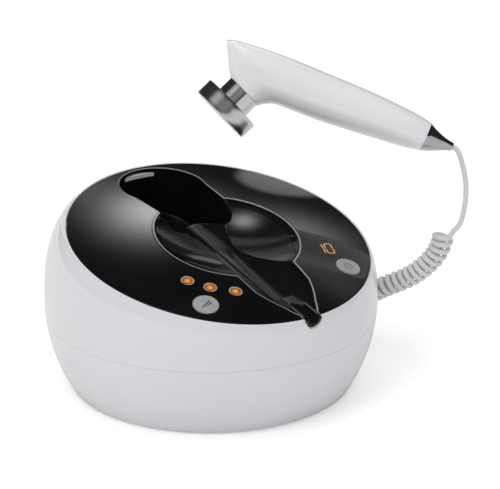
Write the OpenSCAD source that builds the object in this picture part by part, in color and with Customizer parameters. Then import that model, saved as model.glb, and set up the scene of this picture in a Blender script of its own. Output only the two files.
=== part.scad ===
// Facial toning device: a domed base with a cradle, and a handpiece on a curly lead.
// Millimetres, +Z up, origin at the middle of the base's underside, user on the -Y side.
// u, v, w name the tilted panel's own frame: u along +X, v up the slope, w off the panel.

/* [Base casing] */
// Radius of the casing at its widest place
base_r = 100; // [94:0.5:120]
// Height of the widest place above the table
equator_h = 52.6; // [50:0.1:60]
// Half-height of the ellipse that the lower half of the casing follows
belly_h = 98; // [85:0.5:120]
// Height of the joint between the lower and the upper casing
seam_h = 44; // [40:0.5:48]
// Wall of both casings
casing_t = 2.8; // [2.2:0.1:3.5]
// Thickness of the lower casing's floor
floor_t = 3; // [2:0.1:5]
// How far the tongue of the lower casing reaches into the upper one
tongue_h = 3; // [2:0.1:4]
// Radius of the rubber pad under the base
pad_r = 78; // [70:0.5:80]
// How far the rubber pad stands out under the base
pad_t = 1.2; // [0.8:0.1:2]

/* [Top panel] */
// Radius of the panel
panel_r = 90.6; // [88:0.1:92]
// Slope of the panel towards the user
panel_tilt = 14; // [11:0.5:16]
// Height of the middle of the panel's edge circle
panel_h = 91; // [88:0.5:96]
// How far the lip's front edge stays inside the casing's widest place
front_inset = 1.75; // [1:0.05:4]
// Rise of the panel's dome over its edge
dome_rise = 8; // [7:0.1:10]
// Thickness of the panel
panel_t = 2.5; // [2.2:0.1:3]
// Width of the upper casing's lip round the panel
lip_w = 1.5; // [1.2:0.1:2.2]
// How far the ledge under the panel's edge reaches in
ledge_w = 4.8; // [4:0.1:6]
// Thickness of that ledge
ledge_t = 2.5; // [2:0.1:3.5]

/* [Cradle] */
// Room round the electrode head in its well
well_gap = 7; // [6:0.05:9]
// Distance of the well's middle behind the panel's middle
well_v = 61; // [58:0.5:62]
// Depth of the well below the panel's edge circle
well_depth = 32; // [30:0.5:36]
// Half-width between the well's straight sides
well_half = 22.5; // [21.5:0.1:24]
// Radius of the corners where the well's sides turn into the trough's floor
corner_r = 8; // [6:0.5:8.5]
// Front end of those corners, behind the panel's middle
corner_v = 14; // [12:0.5:16]
// Tip of the trough's floor, which runs back into the well as a round tongue
tongue_v = 27.5; // [25:0.5:29]
// Extra radius of the trough over the handle's half-width
trough_gap = 6.3; // [5.5:0.1:7]
// Depth of the trough's floor below the panel's edge circle
trough_depth = 5.6; // [5.2:0.1:7]
// Radius of the finger bowl's edge
bowl_r = 43.8; // [40:0.1:45]
// Distance of the finger bowl's middle in front of the panel's middle
bowl_shift = 7.7; // [6:0.1:9]
// Depth of the finger bowl's floor below the panel's edge circle
bowl_depth = 4.6; // [4:0.1:5.5]
// Radius of the lead's notch in the front edge
notch_r = 4.2; // [3.5:0.1:4.5]
// Depth of the notch's floor below the panel's edge circle
notch_depth = 4.1; // [3.8:0.1:4.5]
// Wall of the cradle tray
tray_t = 2.4; // [1.8:0.1:2.6]

/* [Buttons and lamps] */
// Radius of each button
button_r = 7.5; // [6.5:0.1:8]
// Sideways place of the two buttons on the panel
button_u = 51.5; // [49:0.1:53]
// Place of the two buttons along the panel's slope
button_v = -58.8; // [-60:0.1:-57]
// How far a button stands out of the panel
button_proud = 0.5; // [0.2:0.05:1]
// Travel of each button
button_travel = 0.8; // [0.4:0.05:0.9]
// Radius of each lamp lens
lamp_r = 4; // [3:0.1:4.4]
// Radius of the arc of lamps round the finger bowl's middle
lamp_arc_r = 56.7; // [56:0.1:59]
// Width of the display window
window_w = 17; // [15:0.1:20]
// Height of the display window
window_l = 16; // [14:0.1:17]
// Place of the display window along the panel's slope
window_v = -39.4; // [-40:0.1:-38.5]

/* [Handpiece] */
// Length of the handle and its tail cap
handle_l = 150; // [145:0.5:155]
// Width of the handle
handle_w = 35; // [33:0.1:36]
// Rise of the handle's back over its middle line
handle_up = 15.3; // [14:0.1:16]
// Depth of the handle's underside below its middle line
handle_down = 14.4; // [13.5:0.1:15]
// Wall of the handle shells
shell_t = 2; // [1.6:0.1:2.6]
// Length of the metal tail cap
tail_l = 18; // [14:0.5:20]
// Angle of the head's axis below the handle's line
neck_angle = 65; // [62:0.5:68]
// Radius of the metal neck
neck_r = 11.6; // [10.4:0.1:12]
// Length of the neck that shows
neck_l = 9.9; // [8:0.1:11]
// Radius of the electrode head
head_r = 19.7; // [18:0.05:20.5]
// Thickness of the electrode head
head_t = 11; // [9:0.1:12]

/* [Lead] */
// Diameter of the lead
lead_d = 3.3; // [3:0.1:3.6]
// Outer diameter of the coiled stretch
coil_d = 14; // [12:0.5:15]
// Height of the lead's gland on the right side of the base
gland_h = 26; // [24:0.5:30]
// Angle of the gland behind the base's right-hand side
gland_angle = 10; // [5:1:20]
// Length of the gland's tapered strain relief
relief_l = 14; // [10:0.5:16]

/* [Clearances] */
// Gap between the panel's edge and the casing's lip
panel_gap = 0.3; // [0.2:0.05:0.4]
// Gap round each button in its hole
button_gap = 0.3; // [0.2:0.05:0.4]
// Gap round lenses, the window, tongues and plugs
fit_gap = 0.1; // [0.05:0.05:0.15]
// Gap round a screw in its clearance hole
screw_gap = 0.2; // [0.15:0.05:0.4]

/* [Hidden] */

$fn = 64;

// Casing, worked out
opening_r = panel_r + panel_gap;
rim_r = opening_r + lip_w;
ledge_r = opening_r - ledge_w;
panel_shift = base_r - front_inset - rim_r * cos(panel_tilt);
tongue_t = casing_t / 2;
rim_round = 0.9;
upper_power = 2.37;
upper_reach = 0.95;
casing_stations = 72;
upper_steps = 9;
belly_steps = 12;
floor_z = pad_t + floor_t;

// Panel, worked out
dome_r = (panel_r * panel_r + dome_rise * dome_rise) / (2 * dome_rise);
dome_fn = 360;
far = 300;

// Cradle, worked out
trough_r = handle_w / 2 + trough_gap;
trough_axis = trough_r - trough_depth;
well_r = head_r + well_gap;
well_kink = 20;
corner_u = well_half - corner_r;
corner_mid_v = corner_v + corner_r;
tongue_k = (tongue_v - corner_v) / (corner_u * corner_u);
bowl_drop = dome_height(bowl_r) + bowl_depth;
bowl_ball_r = (bowl_r * bowl_r + bowl_drop * bowl_drop) / (2 * bowl_drop);
trough_straight_v = -62;
trough_taper = [[-69, 1.5], [-80, 4.2], [-90, 5.2]];
notch_axis = notch_r - notch_depth;
notch_start_v = -78;
spout_r = notch_r + 1.6;
head_steps = 40;
corner_steps = 8;
tongue_steps = 16;
tray_flange_w = 5;
tray_flange_t = 2;

// Buttons, lamps and boards, worked out; depths are measured down from the dome's surface
button_flange_w = 1.5;
button_flange_t = 1;
button_edge_r = 0.5;
button_foot_d = panel_t + 2.7;
plunger_r = 1.7;
post_r = 2.2;
switch_top_d = button_foot_d + 1;
switch_h = 3.2;
switch_w = 6;
plunger_grip = 0.6;
board_d = switch_top_d + switch_h;
board_t = 1.6;
board_reach_r = 83;
left_board_far = [-14.5, -14];
board_size = [44, 42.8];
left_bosses = [[-13, 13.8], [18.5, -10]];
boss_r = 3;
small_screw_r = 1;
small_head_r = 1.9;
small_head_t = 1.2;
thread_gap = 0.02;
lamp_angles = [-149.5, -135.7, -121];
lamp_flange_w = 0.8;
window_flange_w = 1;
lens_flange_t = 1;
lens_edge = 0.25;
led_r = 2.4;
led_room = 1.4;
led_top = board_d - panel_t - lens_flange_t - led_room;
tray_screw_angles = [-8, 22, 158, 188];

// Long casing screws: two reach the panel's bosses, the front one the tray's boss
casing_screw_spots = [[60, 36], [-60, 36], [0, -60]];
post_outer_r = 5.6;
long_screw_r = 1.5;
long_head_r = 3;
long_head_t = 2;
long_screw_seat = 34;
long_screw_l = 20;

// Main board and what stands on it
main_size = [100, 78];
main_y = 2;
main_z = 16;
main_top = main_z + board_t;
main_side = main_size[0] / 2;
main_front = main_y - main_size[1] / 2;
main_rear = main_y + main_size[1] / 2;
main_inset = 5;
main_posts = [for (x = [1, -1], y = [main_rear - main_inset, main_front + main_inset])
    [x * (main_side - main_inset), y]];
main_post_r = 3.6;
header_size = [10, 5, 6];
header_spots = [[16 - main_side, main_front + 13], [main_side - 16, main_front + 13],
    [0, main_rear - 11], [main_side - 14, main_front + 43]];
transformer_at = [-0.36 * main_side, main_y - 16];
transformer_size = [28, 22, 26];
transformer_leg = 6;
transformer_yoke = 5;
coil_former_r = 4.9;
sink_at = [3 - main_side, main_y - 10];
sink_size = [3, 36, 26];
fin_size = [6, 2];
fin_count = 6;
transistor_size = [4.5, 10, 15];
transistor_lift = 6;
transistor_in = [6, 22];
leg_w = 0.8;
leg_pitch = 3;
capacitor_r = 6;
capacitor_h = 20;
capacitor_spots = [[0.44 * main_side, main_y - 16], [0.44 * main_side, main_y],
    [0.4 * main_side, main_y + 18]];
cable_r = 1.5;
lead_r = lead_d / 2;

// Inlet
inlet_h = 24;
inlet_nose_r = 4;
inlet_flange_r = 6;
inlet_bore_r = 2.75;
inlet_pin_r = 1;
inlet_seat_cut = 0.5;
inlet_body = 12;
inlet_body_l = 11;
inlet_nose_out = 2.2;
inlet_back = casing_t + inlet_body_l - 2 * inlet_seat_cut;

// Gland, set square to the sloping wall
gland_flange_r = 6.5;
gland_flange_t = 2;
gland_neck_r = 4.6;
gland_cut = 0.5;

// Handpiece, where it is held: the tail's tip and the turn of its own frame
tail_tip = [base_r + 51.8, -44.4, 128.9];
hand_turn = [21, 19.36, 53];
body_k = handle_l / 150;
root_at = [132.1 * body_k, -14.1];
neck_plug_r = neck_r - 1.8;
neck_plug_l = 6;
neck_bore_r = neck_plug_r - 1.8;
head_wall = 2;
carrier_dish = 2;
section_power = 2.3;
section_steps = 14;
hand_board_y = [62, 112];
hand_board_half = 8;
peg_r = 2.5;
peg_y = [68, 106];

// Each section of the handle: back [y, z], underside [y, z], half-width, and how much further
// a leaning section sets its wall in. y runs from the tail, z is a share of the rise or depth.
root_d = [cos(90 - neck_angle), sin(90 - neck_angle)];
root_half = neck_r + 0.6;
tail_k = tail_l / 18;
handle_sections = [
    [[tail_l - 0.5, 0.588 * handle_up], [tail_l + 0.6, -0.64 * handle_down], 0.77 * handle_w / 2, 1],
    section(24, 0.69, 25, 0.73, 0.89),
    section(33, 0.77, 34, 0.785, 0.96),
    section(47.2, 0.856, 46, 0.84, 0.995),
    section(64, 0.917, 60, 0.91, 1),
    section(82.2, 0.954, 73, 0.96, 1, 1.05),
    section(100, 0.985, 82, 0.99, 1, 1.17),
    section(114.6, 1, 87, 1, 1, 1.37),
    section(130, 0.974, 90, 1, 1, 1.7),
    section(147.6, 0.88, 92, 1, 0.99, 2.1),
    section(153.4, 0.77, 94, 1, 0.97, 2.2),
    section(152, 0.55, 104, 1, 0.92, 1.9),
    section(150, 0.28, 112, 1.02, 0.855, 1.5),
    section(147, -0.13, 117.5, 1.17, 0.77, 1.2),
    [root_at + root_half * root_d, root_at - root_half * root_d, root_half, 1]
];
tail_sections = [
    [[0, 2.5], [0, -2.5], 2.5, 1],
    [[3.5 * tail_k, 3.1], [3.5 * tail_k, -3.6], 4.6, 1],
    [[7.5 * tail_k, 4.3], [7.5 * tail_k, -5.3], 7.6, 1],
    [[12 * tail_k, 6.2], [12 * tail_k, -7.2], 10.6, 1],
    [[15.5 * tail_k, 8], [15.9 * tail_k, -8.5], 12.6, 1],
    handle_sections[0]
];

// The lead's route, x from the casing's side. The coil runs from the first coil point to the last.
gland_tip = wall_point(gland_angle, gland_h, relief_l);
lower_route = beside([[14, 18.5, 20.8], [16.6, 15.6, 21], [18.15, 11.5, 21.65], [18, 7, 23]]);
coil_route = beside([[18, 7, 23], [17.8, 1, 24.8], [17.4, -6, 28.2], [17.8, -13, 32.4],
    [20, -19.5, 36.6], [23.8, -25.6, 40.4], [28, -31.8, 44.5], [32.2, -37.8, 49.8],
    [35.8, -43, 56], [38.6, -47, 62.6], [40.2, -49.6, 69.4], [40.8, -50.8, 76.6]]);
upper_route = concat(beside([[44.8, -54.2, 75.7], [44.95, -54.5, 77.5], [45.7, -55.3, 79.1],
    [47.1, -56.4, 80.8], [48.4, -57.2, 83.2], [49.5, -57.6, 86.2], [51.7, -57.1, 92.4],
    [53.7, -55.9, 99.5], [54.9, -54.3, 106.6], [55, -52.8, 112.7], [54.9, -50.7, 118.3],
    [54.5, -48.8, 123.2], [54.1, -47.4, 126], [53.6, -46.4, 127.4], [52.8, -45.4, 128.4]]),
    [tail_tip]);

// ---------- functions ----------

// Radius of the casing's lower half at height z
function belly_radius(z) = base_r * sqrt(1 - pow((equator_h - z) / belly_h, 2));

// Height of the dome's surface at distance d from the panel's middle
function dome_height(d) = sqrt(dome_r * dome_r - d * d) - (dome_r - dome_rise);

// A point of the panel's frame in the part's frame
function panel_point(u, v, w) = [
    u,
    v * cos(panel_tilt) - w * sin(panel_tilt) - panel_shift,
    v * sin(panel_tilt) + w * cos(panel_tilt) + panel_h
];

// How far the upper casing has gone from its rim (0) to the equator (1) at share f of its height
function upper_share(f) =
    let (g = pow(1 - pow(upper_reach * f, upper_power), 1 / upper_power),
         g1 = pow(1 - pow(upper_reach, upper_power), 1 / upper_power))
    (g - g1) / (1 - g1);

// A point of the upper casing: angle a, share f, equator radius r, rim radius and height
function upper_point(a, f, r, rim, w) =
    let (top = panel_point(rim * cos(a), rim * sin(a), w), s = upper_share(f))
    [top[0] + (r * cos(a) - top[0]) * s,
     top[1] + (r * sin(a) - top[1]) * s,
     equator_h + (top[2] - equator_h) * f];

// The closed outline of the upper casing's wall at angle a
function casing_section(a) = concat(
    [for (z = [seam_h, (seam_h + equator_h) / 2])
        [belly_radius(z) * cos(a), belly_radius(z) * sin(a), z]],
    [for (i = [0 : upper_steps]) upper_point(a, i / upper_steps, base_r, rim_r, -rim_round)],
    [for (q = [30, 60, 90, 120, 150]) panel_point(
        (rim_r - lip_w / 2 + lip_w / 2 * cos(q)) * cos(a),
        (rim_r - lip_w / 2 + lip_w / 2 * cos(q)) * sin(a),
        rim_round * (sin(q) - 1))],
    [panel_point(opening_r * cos(a), opening_r * sin(a), -rim_round),
     panel_point(opening_r * cos(a), opening_r * sin(a), -panel_t),
     panel_point(ledge_r * cos(a), ledge_r * sin(a), -panel_t),
     panel_point(ledge_r * cos(a), ledge_r * sin(a), -panel_t - ledge_t)],
    [for (i = [upper_steps - 1 : -1 : 0]) upper_point(a, i / (upper_steps - 1),
        base_r - casing_t, rim_r - casing_t, -panel_t - ledge_t)],
    [for (z = [seam_h + tongue_h + fit_gap])
        [(belly_radius(z) - casing_t) * cos(a), (belly_radius(z) - casing_t) * sin(a), z]],
    [for (z = [seam_h + tongue_h + fit_gap, seam_h])
        [(belly_radius(seam_h) - tongue_t) * cos(a), (belly_radius(seam_h) - tongue_t) * sin(a), z]]
);

// One section of the handle from its shares
function section(y_back, up, y_under, down, wide, lean_k = 1) = [
    [y_back * body_k, up * handle_up],
    [y_under * body_k, -down * handle_down],
    wide * handle_w / 2,
    lean_k];

// A point on a section's outline, inset by t, at angle a from its side
function section_point(s, t, a) =
    let (mid = (s[0] + s[1]) / 2, half = norm(s[0] - s[1]) / 2, dir = (s[0] - s[1]) / norm(s[0] - s[1]),
         x = (s[2] - t) * sign(cos(a)) * pow(abs(cos(a)), 2 / section_power),
         h = (half - t * s[3]) * sign(sin(a)) * pow(abs(sin(a)), 2 / section_power))
    [x, mid[0] + dir[0] * h, mid[1] + dir[1] * h];

// A route whose x is given from the casing's side
function beside(route) = [for (p = route) p + [base_r, 0, 0]];

function unit(p) = p / norm(p);

// Direction of a route at point i
function route_dir(p, i) = unit(p[min(i + 1, len(p) - 1)] - p[max(i - 1, 0)]);

// A direction square to the route at point i, carried along it without twisting
function route_side(p, i) =
    let (d = route_dir(p, i), a = i == 0 ? [d[1], -d[0], 0.3] : route_side(p, i - 1))
    unit(a - (a * d) * d);

// A ring of n points of radius r round point i of route p
function ring(p, i, r, n) =
    let (a = route_side(p, i), b = cross(route_dir(p, i), a))
    [for (k = [0 : n - 1]) p[i] + r * (cos(360 * k / n) * a + sin(360 * k / n) * b)];

// p turned by q degrees about Z, and about Y
function turn_z(p, q) = [p[0] * cos(q) - p[1] * sin(q), p[0] * sin(q) + p[1] * cos(q), p[2]];
function turn_y(p, q) = [p[0] * cos(q) + p[2] * sin(q), p[1], p[2] * cos(q) - p[0] * sin(q)];

// The point p of the frame that stands square on the dome at (u, v), in the part's frame
function dome_point(u, v, p) =
    let (a = atan2(v, u), lean = asin(norm([u, v]) / dome_r),
         q = turn_z(turn_y(turn_z(p, -a) + [0, 0, dome_r], lean), a))
    panel_point(q[0], q[1], q[2] + dome_rise - dome_r);

// How far the lower wall's outward direction dips at height z
function wall_dip(z) = atan(base_r * base_r / (belly_h * belly_h) * (equator_h - z) / belly_radius(z));

// The point d outside the lower wall at angle a and height z, and x to its side
function wall_point(a, z, d, x = 0) = turn_z(
    [belly_radius(z) + d * cos(wall_dip(z)), x, z - d * sin(wall_dip(z))], a);

// ---------- shapes ----------

// A closed skin over rings of n points each; looped rings join their last to their first
module skin(rings, looped = false) {
    n = len(rings[0]);
    m = len(rings);
    last = looped ? m - 1 : m - 2;
    sides = [for (i = [0 : last], k = [0 : n - 1])
        let (i2 = (i + 1) % m, k2 = (k + 1) % n)
        each [[i * n + k, i2 * n + k, i2 * n + k2], [i * n + k, i2 * n + k2, i * n + k2]]];
    ends = looped ? [] : [[for (k = [0 : n - 1]) k], [for (k = [n - 1 : -1 : 0]) (m - 1) * n + k]];
    polyhedron([for (r = rings) each r], concat(sides, ends), convexity = 6);
}

// A round tube of radius r with n sides along route p
module route_tube(p, r, n) {
    skin([for (i = [0 : len(p) - 1]) ring(p, i, r, n)]);
}

module on_panel() {
    translate([0, -panel_shift, panel_h]) rotate([panel_tilt, 0, 0]) children();
}

// Puts a shape at panel place (u, v) with its Z square to the dome
module on_dome(u, v) {
    a = atan2(v, u);
    lean = asin(norm([u, v]) / dome_r);
    on_panel() translate([0, 0, dome_rise - dome_r]) rotate([0, 0, a]) rotate([0, lean, 0])
        translate([0, 0, dome_r]) rotate([0, 0, -a]) children();
}

// The ball whose cap is the dome, sunk by d
module dome_ball(d) {
    on_panel() translate([0, 0, dome_rise - dome_r]) sphere(r = dome_r - d, $fn = dome_fn);
}

// A point of the tongue's edge at sideways place u, moved out by e square to the edge
function tongue_point(u, e) =
    let (n = [2 * tongue_k * u, 1])
    [u, tongue_v - tongue_k * u * u] - e * n / norm(n);

// The well's outline, grown by e: the arc round the head, straight sides, round corners at
// their front, and between these the tongue of the trough's floor
module well_outline(e) {
    sweep = 180 + 2 * well_kink;
    polygon(concat(
        [for (i = [0 : head_steps]) let (q = sweep * i / head_steps - well_kink)
            [(well_r + e) * cos(q), well_v + (well_r + e) * sin(q)]],
        [for (i = [0 : corner_steps]) let (q = 180 + 90 * i / corner_steps)
            [(corner_r + e) * cos(q) - corner_u, corner_mid_v + (corner_r + e) * sin(q)]],
        [for (i = [1 : tongue_steps - 1]) tongue_point(corner_u * (2 * i / tongue_steps - 1), e)],
        [for (i = [0 : corner_steps]) let (q = 270 + 90 * i / corner_steps)
            [(corner_r + e) * cos(q) + corner_u, corner_mid_v + (corner_r + e) * sin(q)]]));
}

// The well as a column, grown by e, up to height w off the panel's edge circle
module well_column(e, w) {
    on_panel() translate([0, 0, -well_depth - e]) linear_extrude(well_depth + e + w) well_outline(e);
}

// The trough as a turned body along v, grown by e
module trough_body(e) {
    back = tongue_v + 0.5;
    profile = concat([[0, back], [trough_r + e, back], [trough_r + e, trough_straight_v]],
        [for (t = trough_taper) [trough_r - t[1] + e, t[0]]], [[0, trough_taper[2][0]]]);
    translate([0, 0, trough_axis]) rotate([-90, 0, 0]) rotate_extrude($fn = 96)
        polygon(profile);
}

// Everything the cradle leaves open, grown by e
module cradle_space(e) {
    well_column(e, 40);
    on_panel() {
        translate([0, -bowl_shift, bowl_ball_r - bowl_depth]) sphere(r = bowl_ball_r + e, $fn = 160);
        trough_body(e);
    }
}

// The lead's notch in the front edge as a round bar of radius r, from v to the front
module notch_bar(r, v) {
    on_panel() translate([0, v, notch_axis]) rotate([90, 0, 0]) cylinder(r = r, h = far);
}

// A screw with its head down at z = 0 and its shank up
module screw(shank_r, l, head_r, head_t) {
    translate([0, 0, -head_t]) cylinder(r = head_r, h = head_t, $fn = 32);
    translate([0, 0, -0.01]) cylinder(r = shank_r, h = l, $fn = 32);
}

// Puts a shape on the lower wall at angle a and height z with its Z square out of the wall
module on_wall(a, z) {
    rotate([0, 0, a]) translate([belly_radius(z), 0, z]) rotate([0, 90 + wall_dip(z), 0]) children();
}

module on_gland() {
    on_wall(gland_angle, gland_h) children();
}

// Puts a shape at the rear of the base with its Z square out of the wall
module on_inlet() {
    on_wall(90, inlet_h) translate([0, 0, -inlet_seat_cut]) children();
}

module in_hand() {
    translate(tail_tip) rotate(hand_turn) children();
}

// Puts a shape at the neck's root with its Z along the head's axis
module on_neck() {
    in_hand() translate([0, root_at[0], root_at[1]]) rotate([-90 - neck_angle, 0, 0]) children();
}

// The belly's outline from height z0 to z1, set in by t, as points
function belly_line(t, z0, z1) = [for (i = [0 : belly_steps])
    let (z = z0 + (z1 - z0) * i / belly_steps) [belly_radius(z) - t, z]];

module base_pad() {
    color("#3c3c3e") cylinder(r = pad_r, h = pad_t, $fn = 128);
}

module lower_casing() {
    wall_line = concat([[0, pad_t]], belly_line(0, pad_t, seam_h),
        [[belly_radius(seam_h) - tongue_t - fit_gap, seam_h],
         [belly_radius(seam_h) - tongue_t - fit_gap, seam_h + tongue_h],
         [belly_radius(seam_h) - casing_t, seam_h + tongue_h]],
        [for (i = [belly_steps : -1 : 0]) belly_line(casing_t, floor_z, seam_h)[i]],
        [[0, floor_z]]);
    color("#e4e4ea") difference() {
        union() {
            rotate_extrude($fn = 128) polygon(wall_line);
            for (s = casing_screw_spots) translate([s[0], s[1], pad_t + 0.1])
                cylinder(r = post_outer_r, h = seam_h - pad_t - 0.1);
            for (s = main_posts) translate([s[0], s[1], pad_t + 0.1])
                cylinder(r = main_post_r, h = main_z - pad_t - 0.1, $fn = 32);
        }
        for (s = casing_screw_spots) translate([s[0], s[1], 0]) {
            cylinder(r = long_head_r + screw_gap, h = long_screw_seat, $fn = 32);
            cylinder(r = long_screw_r + screw_gap, h = seam_h + 1, $fn = 32);
        }
        for (s = main_posts) translate([s[0], s[1], main_z - 8])
            cylinder(r = small_screw_r, h = 10, $fn = 32);
        on_gland() {
            translate([0, 0, -gland_cut]) cylinder(r = gland_flange_r + fit_gap, h = 20);
            translate([0, 0, -20]) cylinder(r = gland_neck_r + fit_gap, h = 40);
            translate([0, 0, -casing_t - 20 + gland_cut]) cylinder(r = gland_flange_r + 1, h = 20);
        }
        on_inlet() {
            cylinder(r = inlet_flange_r + fit_gap, h = 20);
            translate([0, 0, -20]) cylinder(r = inlet_nose_r + fit_gap, h = 40);
            translate([0, 0, -casing_t - 20 + 2 * inlet_seat_cut]) cylinder(r = inlet_body * 0.72, h = 20);
        }
    }
}

module upper_casing() {
    color("#e4e4ea") difference() {
        skin([for (i = [0 : casing_stations - 1]) casing_section(i * 360 / casing_stations)], true);
        notch_bar(spout_r + fit_gap, notch_start_v);
        well_column(tray_t + fit_gap, 1);
    }
}

module panel_holes() {
    on_dome(-button_u, button_v) translate([0, 0, -20]) cylinder(r = button_r + button_gap, h = 30);
    on_dome(button_u, button_v) translate([0, 0, -20]) cylinder(r = button_r + button_gap, h = 30);
    for (a = lamp_angles) lamp_place(a) translate([0, 0, -20]) cylinder(r = lamp_r + fit_gap, h = 30);
    on_dome(button_u, window_v) translate([0, 0, -5])
        cube([window_w + 2 * fit_gap, window_l + 2 * fit_gap, 30], center = true);
}

module lamp_place(a) {
    on_dome(lamp_arc_r * cos(a), lamp_arc_r * sin(a) - bowl_shift) children();
}

// The two button stations: side -1 is the level key's on the left, side 1 the time key's on the right
module station(side) {
    on_dome(side * button_u, button_v) children();
}

module tray_screw_places() {
    for (a = tray_screw_angles)
        on_dome((bowl_r + 3.2) * cos(a), (bowl_r + 3.2) * sin(a) - bowl_shift)
            translate([0, 0, -panel_t - fit_gap - tray_flange_t]) children();
}

module top_panel() {
    color("#141417") difference() {
        union() {
            difference() {
                intersection() {
                    dome_ball(0);
                    on_panel() translate([0, 0, -panel_t]) cylinder(r = panel_r, h = 40, $fn = 180);
                }
                intersection() {
                    dome_ball(panel_t);
                    on_panel() translate([0, 0, -40]) cylinder(r = ledge_r - fit_gap, h = 80, $fn = 180);
                }
            }
            intersection() {
                dome_ball(1);
                union() {
                    for (s = [0, 1]) translate([casing_screw_spots[s][0], casing_screw_spots[s][1],
                        seam_h + fit_gap]) cylinder(r = post_outer_r - 1, h = 90, $fn = 48);
                    for (side = [-1, 1], b = left_bosses) station(side)
                        translate([-side * b[0], b[1], -board_d]) cylinder(r = boss_r, h = board_d, $fn = 32);
                }
            }
        }
        cradle_space(0);
        notch_bar(spout_r + fit_gap, notch_start_v);
        panel_holes();
        for (s = [0, 1]) translate([casing_screw_spots[s][0], casing_screw_spots[s][1], seam_h - 1])
            cylinder(r = long_screw_r, h = long_screw_l, $fn = 32);
        for (side = [-1, 1], b = left_bosses) station(side)
            translate([-side * b[0], b[1], -board_d - 1]) cylinder(r = small_screw_r, h = 7, $fn = 32);
        tray_screw_places() cylinder(r = small_screw_r, h = 3.9, $fn = 32);
    }
}

module cradle_tray() {
    sunk = panel_t + fit_gap;
    color("#1b1b1f") difference() {
        union() {
            intersection() {
                union() {
                    cradle_space(tray_t);
                    translate([casing_screw_spots[2][0], casing_screw_spots[2][1], seam_h + fit_gap])
                        cylinder(r = post_outer_r - 1, h = 40, $fn = 48);
                    on_panel() translate([0, notch_start_v + 4, notch_axis]) rotate([90, 0, 0])
                        cylinder(r = spout_r, h = -notch_start_v - 4);
                }
                dome_ball(sunk);
                on_panel() translate([0, 0, -60]) cylinder(r = ledge_r - 1, h = 120, $fn = 180);
            }
            well_column(tray_t, -sunk);
            difference() {
                intersection() {
                    dome_ball(sunk);
                    on_panel() translate([0, 0, -20]) linear_extrude(60) {
                        well_outline(tray_flange_w);
                        translate([0, -bowl_shift]) circle(r = bowl_r + tray_flange_w + 1.2, $fn = 128);
                    }
                    on_panel() translate([0, 0, -60]) cylinder(r = ledge_r - 1, h = 120, $fn = 180);
                }
                dome_ball(sunk + tray_flange_t);
            }
            intersection() {
                dome_ball(0);
                on_panel() translate([0, notch_start_v, notch_axis]) rotate([90, 0, 0])
                    cylinder(r = spout_r, h = rim_r + 0.6 + notch_start_v);
            }
        }
        cradle_space(0);
        notch_bar(notch_r, notch_start_v + 12);
        translate([casing_screw_spots[2][0], casing_screw_spots[2][1], seam_h - 1])
            cylinder(r = long_screw_r, h = long_screw_l, $fn = 32);
        tray_screw_places() translate([0, 0, -5]) cylinder(r = small_screw_r + screw_gap, h = 12, $fn = 32);
        on_dome(button_u, window_v) translate([0, 0, -5]) cube([window_w + 2 * (window_flange_w + fit_gap),
            window_l + 2 * (window_flange_w + fit_gap), 30], center = true);
    }
}

// A button cap with its foot, and its flange below the panel cut back from the ledge
module button(side) {
    round_edge = [for (q = [0 : 15 : 90]) [
        button_r - button_edge_r + button_edge_r * cos(q),
        button_proud - button_edge_r + button_edge_r * sin(q)]];
    flange_d = panel_t + 0.3;
    intersection() {
        station(side) rotate_extrude($fn = 64) polygon(concat(round_edge, [[0, button_proud],
            [0, -button_foot_d], [post_r, -button_foot_d], [post_r, -flange_d - button_flange_t],
            [button_r + button_flange_w, -flange_d - button_flange_t],
            [button_r + button_flange_w, -flange_d], [button_r, -flange_d]]));
        on_panel() translate([0, 0, -60]) cylinder(r = ledge_r - 2 * fit_gap, h = 120, $fn = 180);
    }
}

module plunger(side) {
    station(side) translate([0, 0, -switch_top_d - plunger_grip])
        cylinder(r = plunger_r, h = switch_top_d + plunger_grip - button_foot_d, $fn = 32);
}

module switch_body(side) {
    station(side) translate([0, 0, -switch_top_d]) difference() {
        translate([-switch_w / 2, -switch_w / 2, -switch_h]) cube([switch_w, switch_w, switch_h]);
        translate([0, 0, -plunger_grip - button_travel - 0.2])
            cylinder(r = plunger_r + 0.2, h = 5, $fn = 32);
    }
}

module level_button() { color("#c9c9cd") button(-1); }
module time_button() { color("#c9c9cd") button(1); }
module level_plunger() { color("#2b2b2b") plunger(-1); }
module time_plunger() { color("#2b2b2b") plunger(1); }
module level_switch() { color("#b8b8b8") switch_body(-1); }
module time_switch() { color("#b8b8b8") switch_body(1); }

module lamp_lens(i) {
    under = -panel_t - fit_gap;
    color("#f0a050") lamp_place(lamp_angles[i]) rotate_extrude($fn = 64) polygon([
        [0, under - lens_flange_t], [lamp_r + lamp_flange_w, under - lens_flange_t],
        [lamp_r + lamp_flange_w, under], [lamp_r, under], [lamp_r, -lens_edge],
        [lamp_r - lens_edge, 0], [0, 0]]);
}

// Where lamp i lies in the left station's frame
function lamp_offset(a) = [
    lamp_arc_r * cos(a) + button_u,
    lamp_arc_r * sin(a) - bowl_shift - button_v];

module lamp_leds() {
    color("#f4e9c8") station(-1) for (a = lamp_angles)
        translate([lamp_offset(a)[0], lamp_offset(a)[1], -board_d])
            cylinder(r = led_r, h = led_top, $fn = 32);
}

module display_window() {
    color("#26262a") {
        intersection() {
            dome_ball(0);
            on_dome(button_u, window_v) translate([-window_w / 2, -window_l / 2, -panel_t - 0.2])
                cube([window_w, window_l, 8]);
        }
        on_dome(button_u, window_v)
            translate([-window_w / 2 - window_flange_w, -window_l / 2 - window_flange_w,
                -panel_t - 0.2 - lens_flange_t])
                cube([window_w + 2 * window_flange_w, window_l + 2 * window_flange_w, lens_flange_t]);
    }
}

module display_module() {
    color("#3a3a3c") station(1) translate([-7.5, window_v - button_v - 7, -board_d]) cube([15, 14, led_top]);
}

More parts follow.
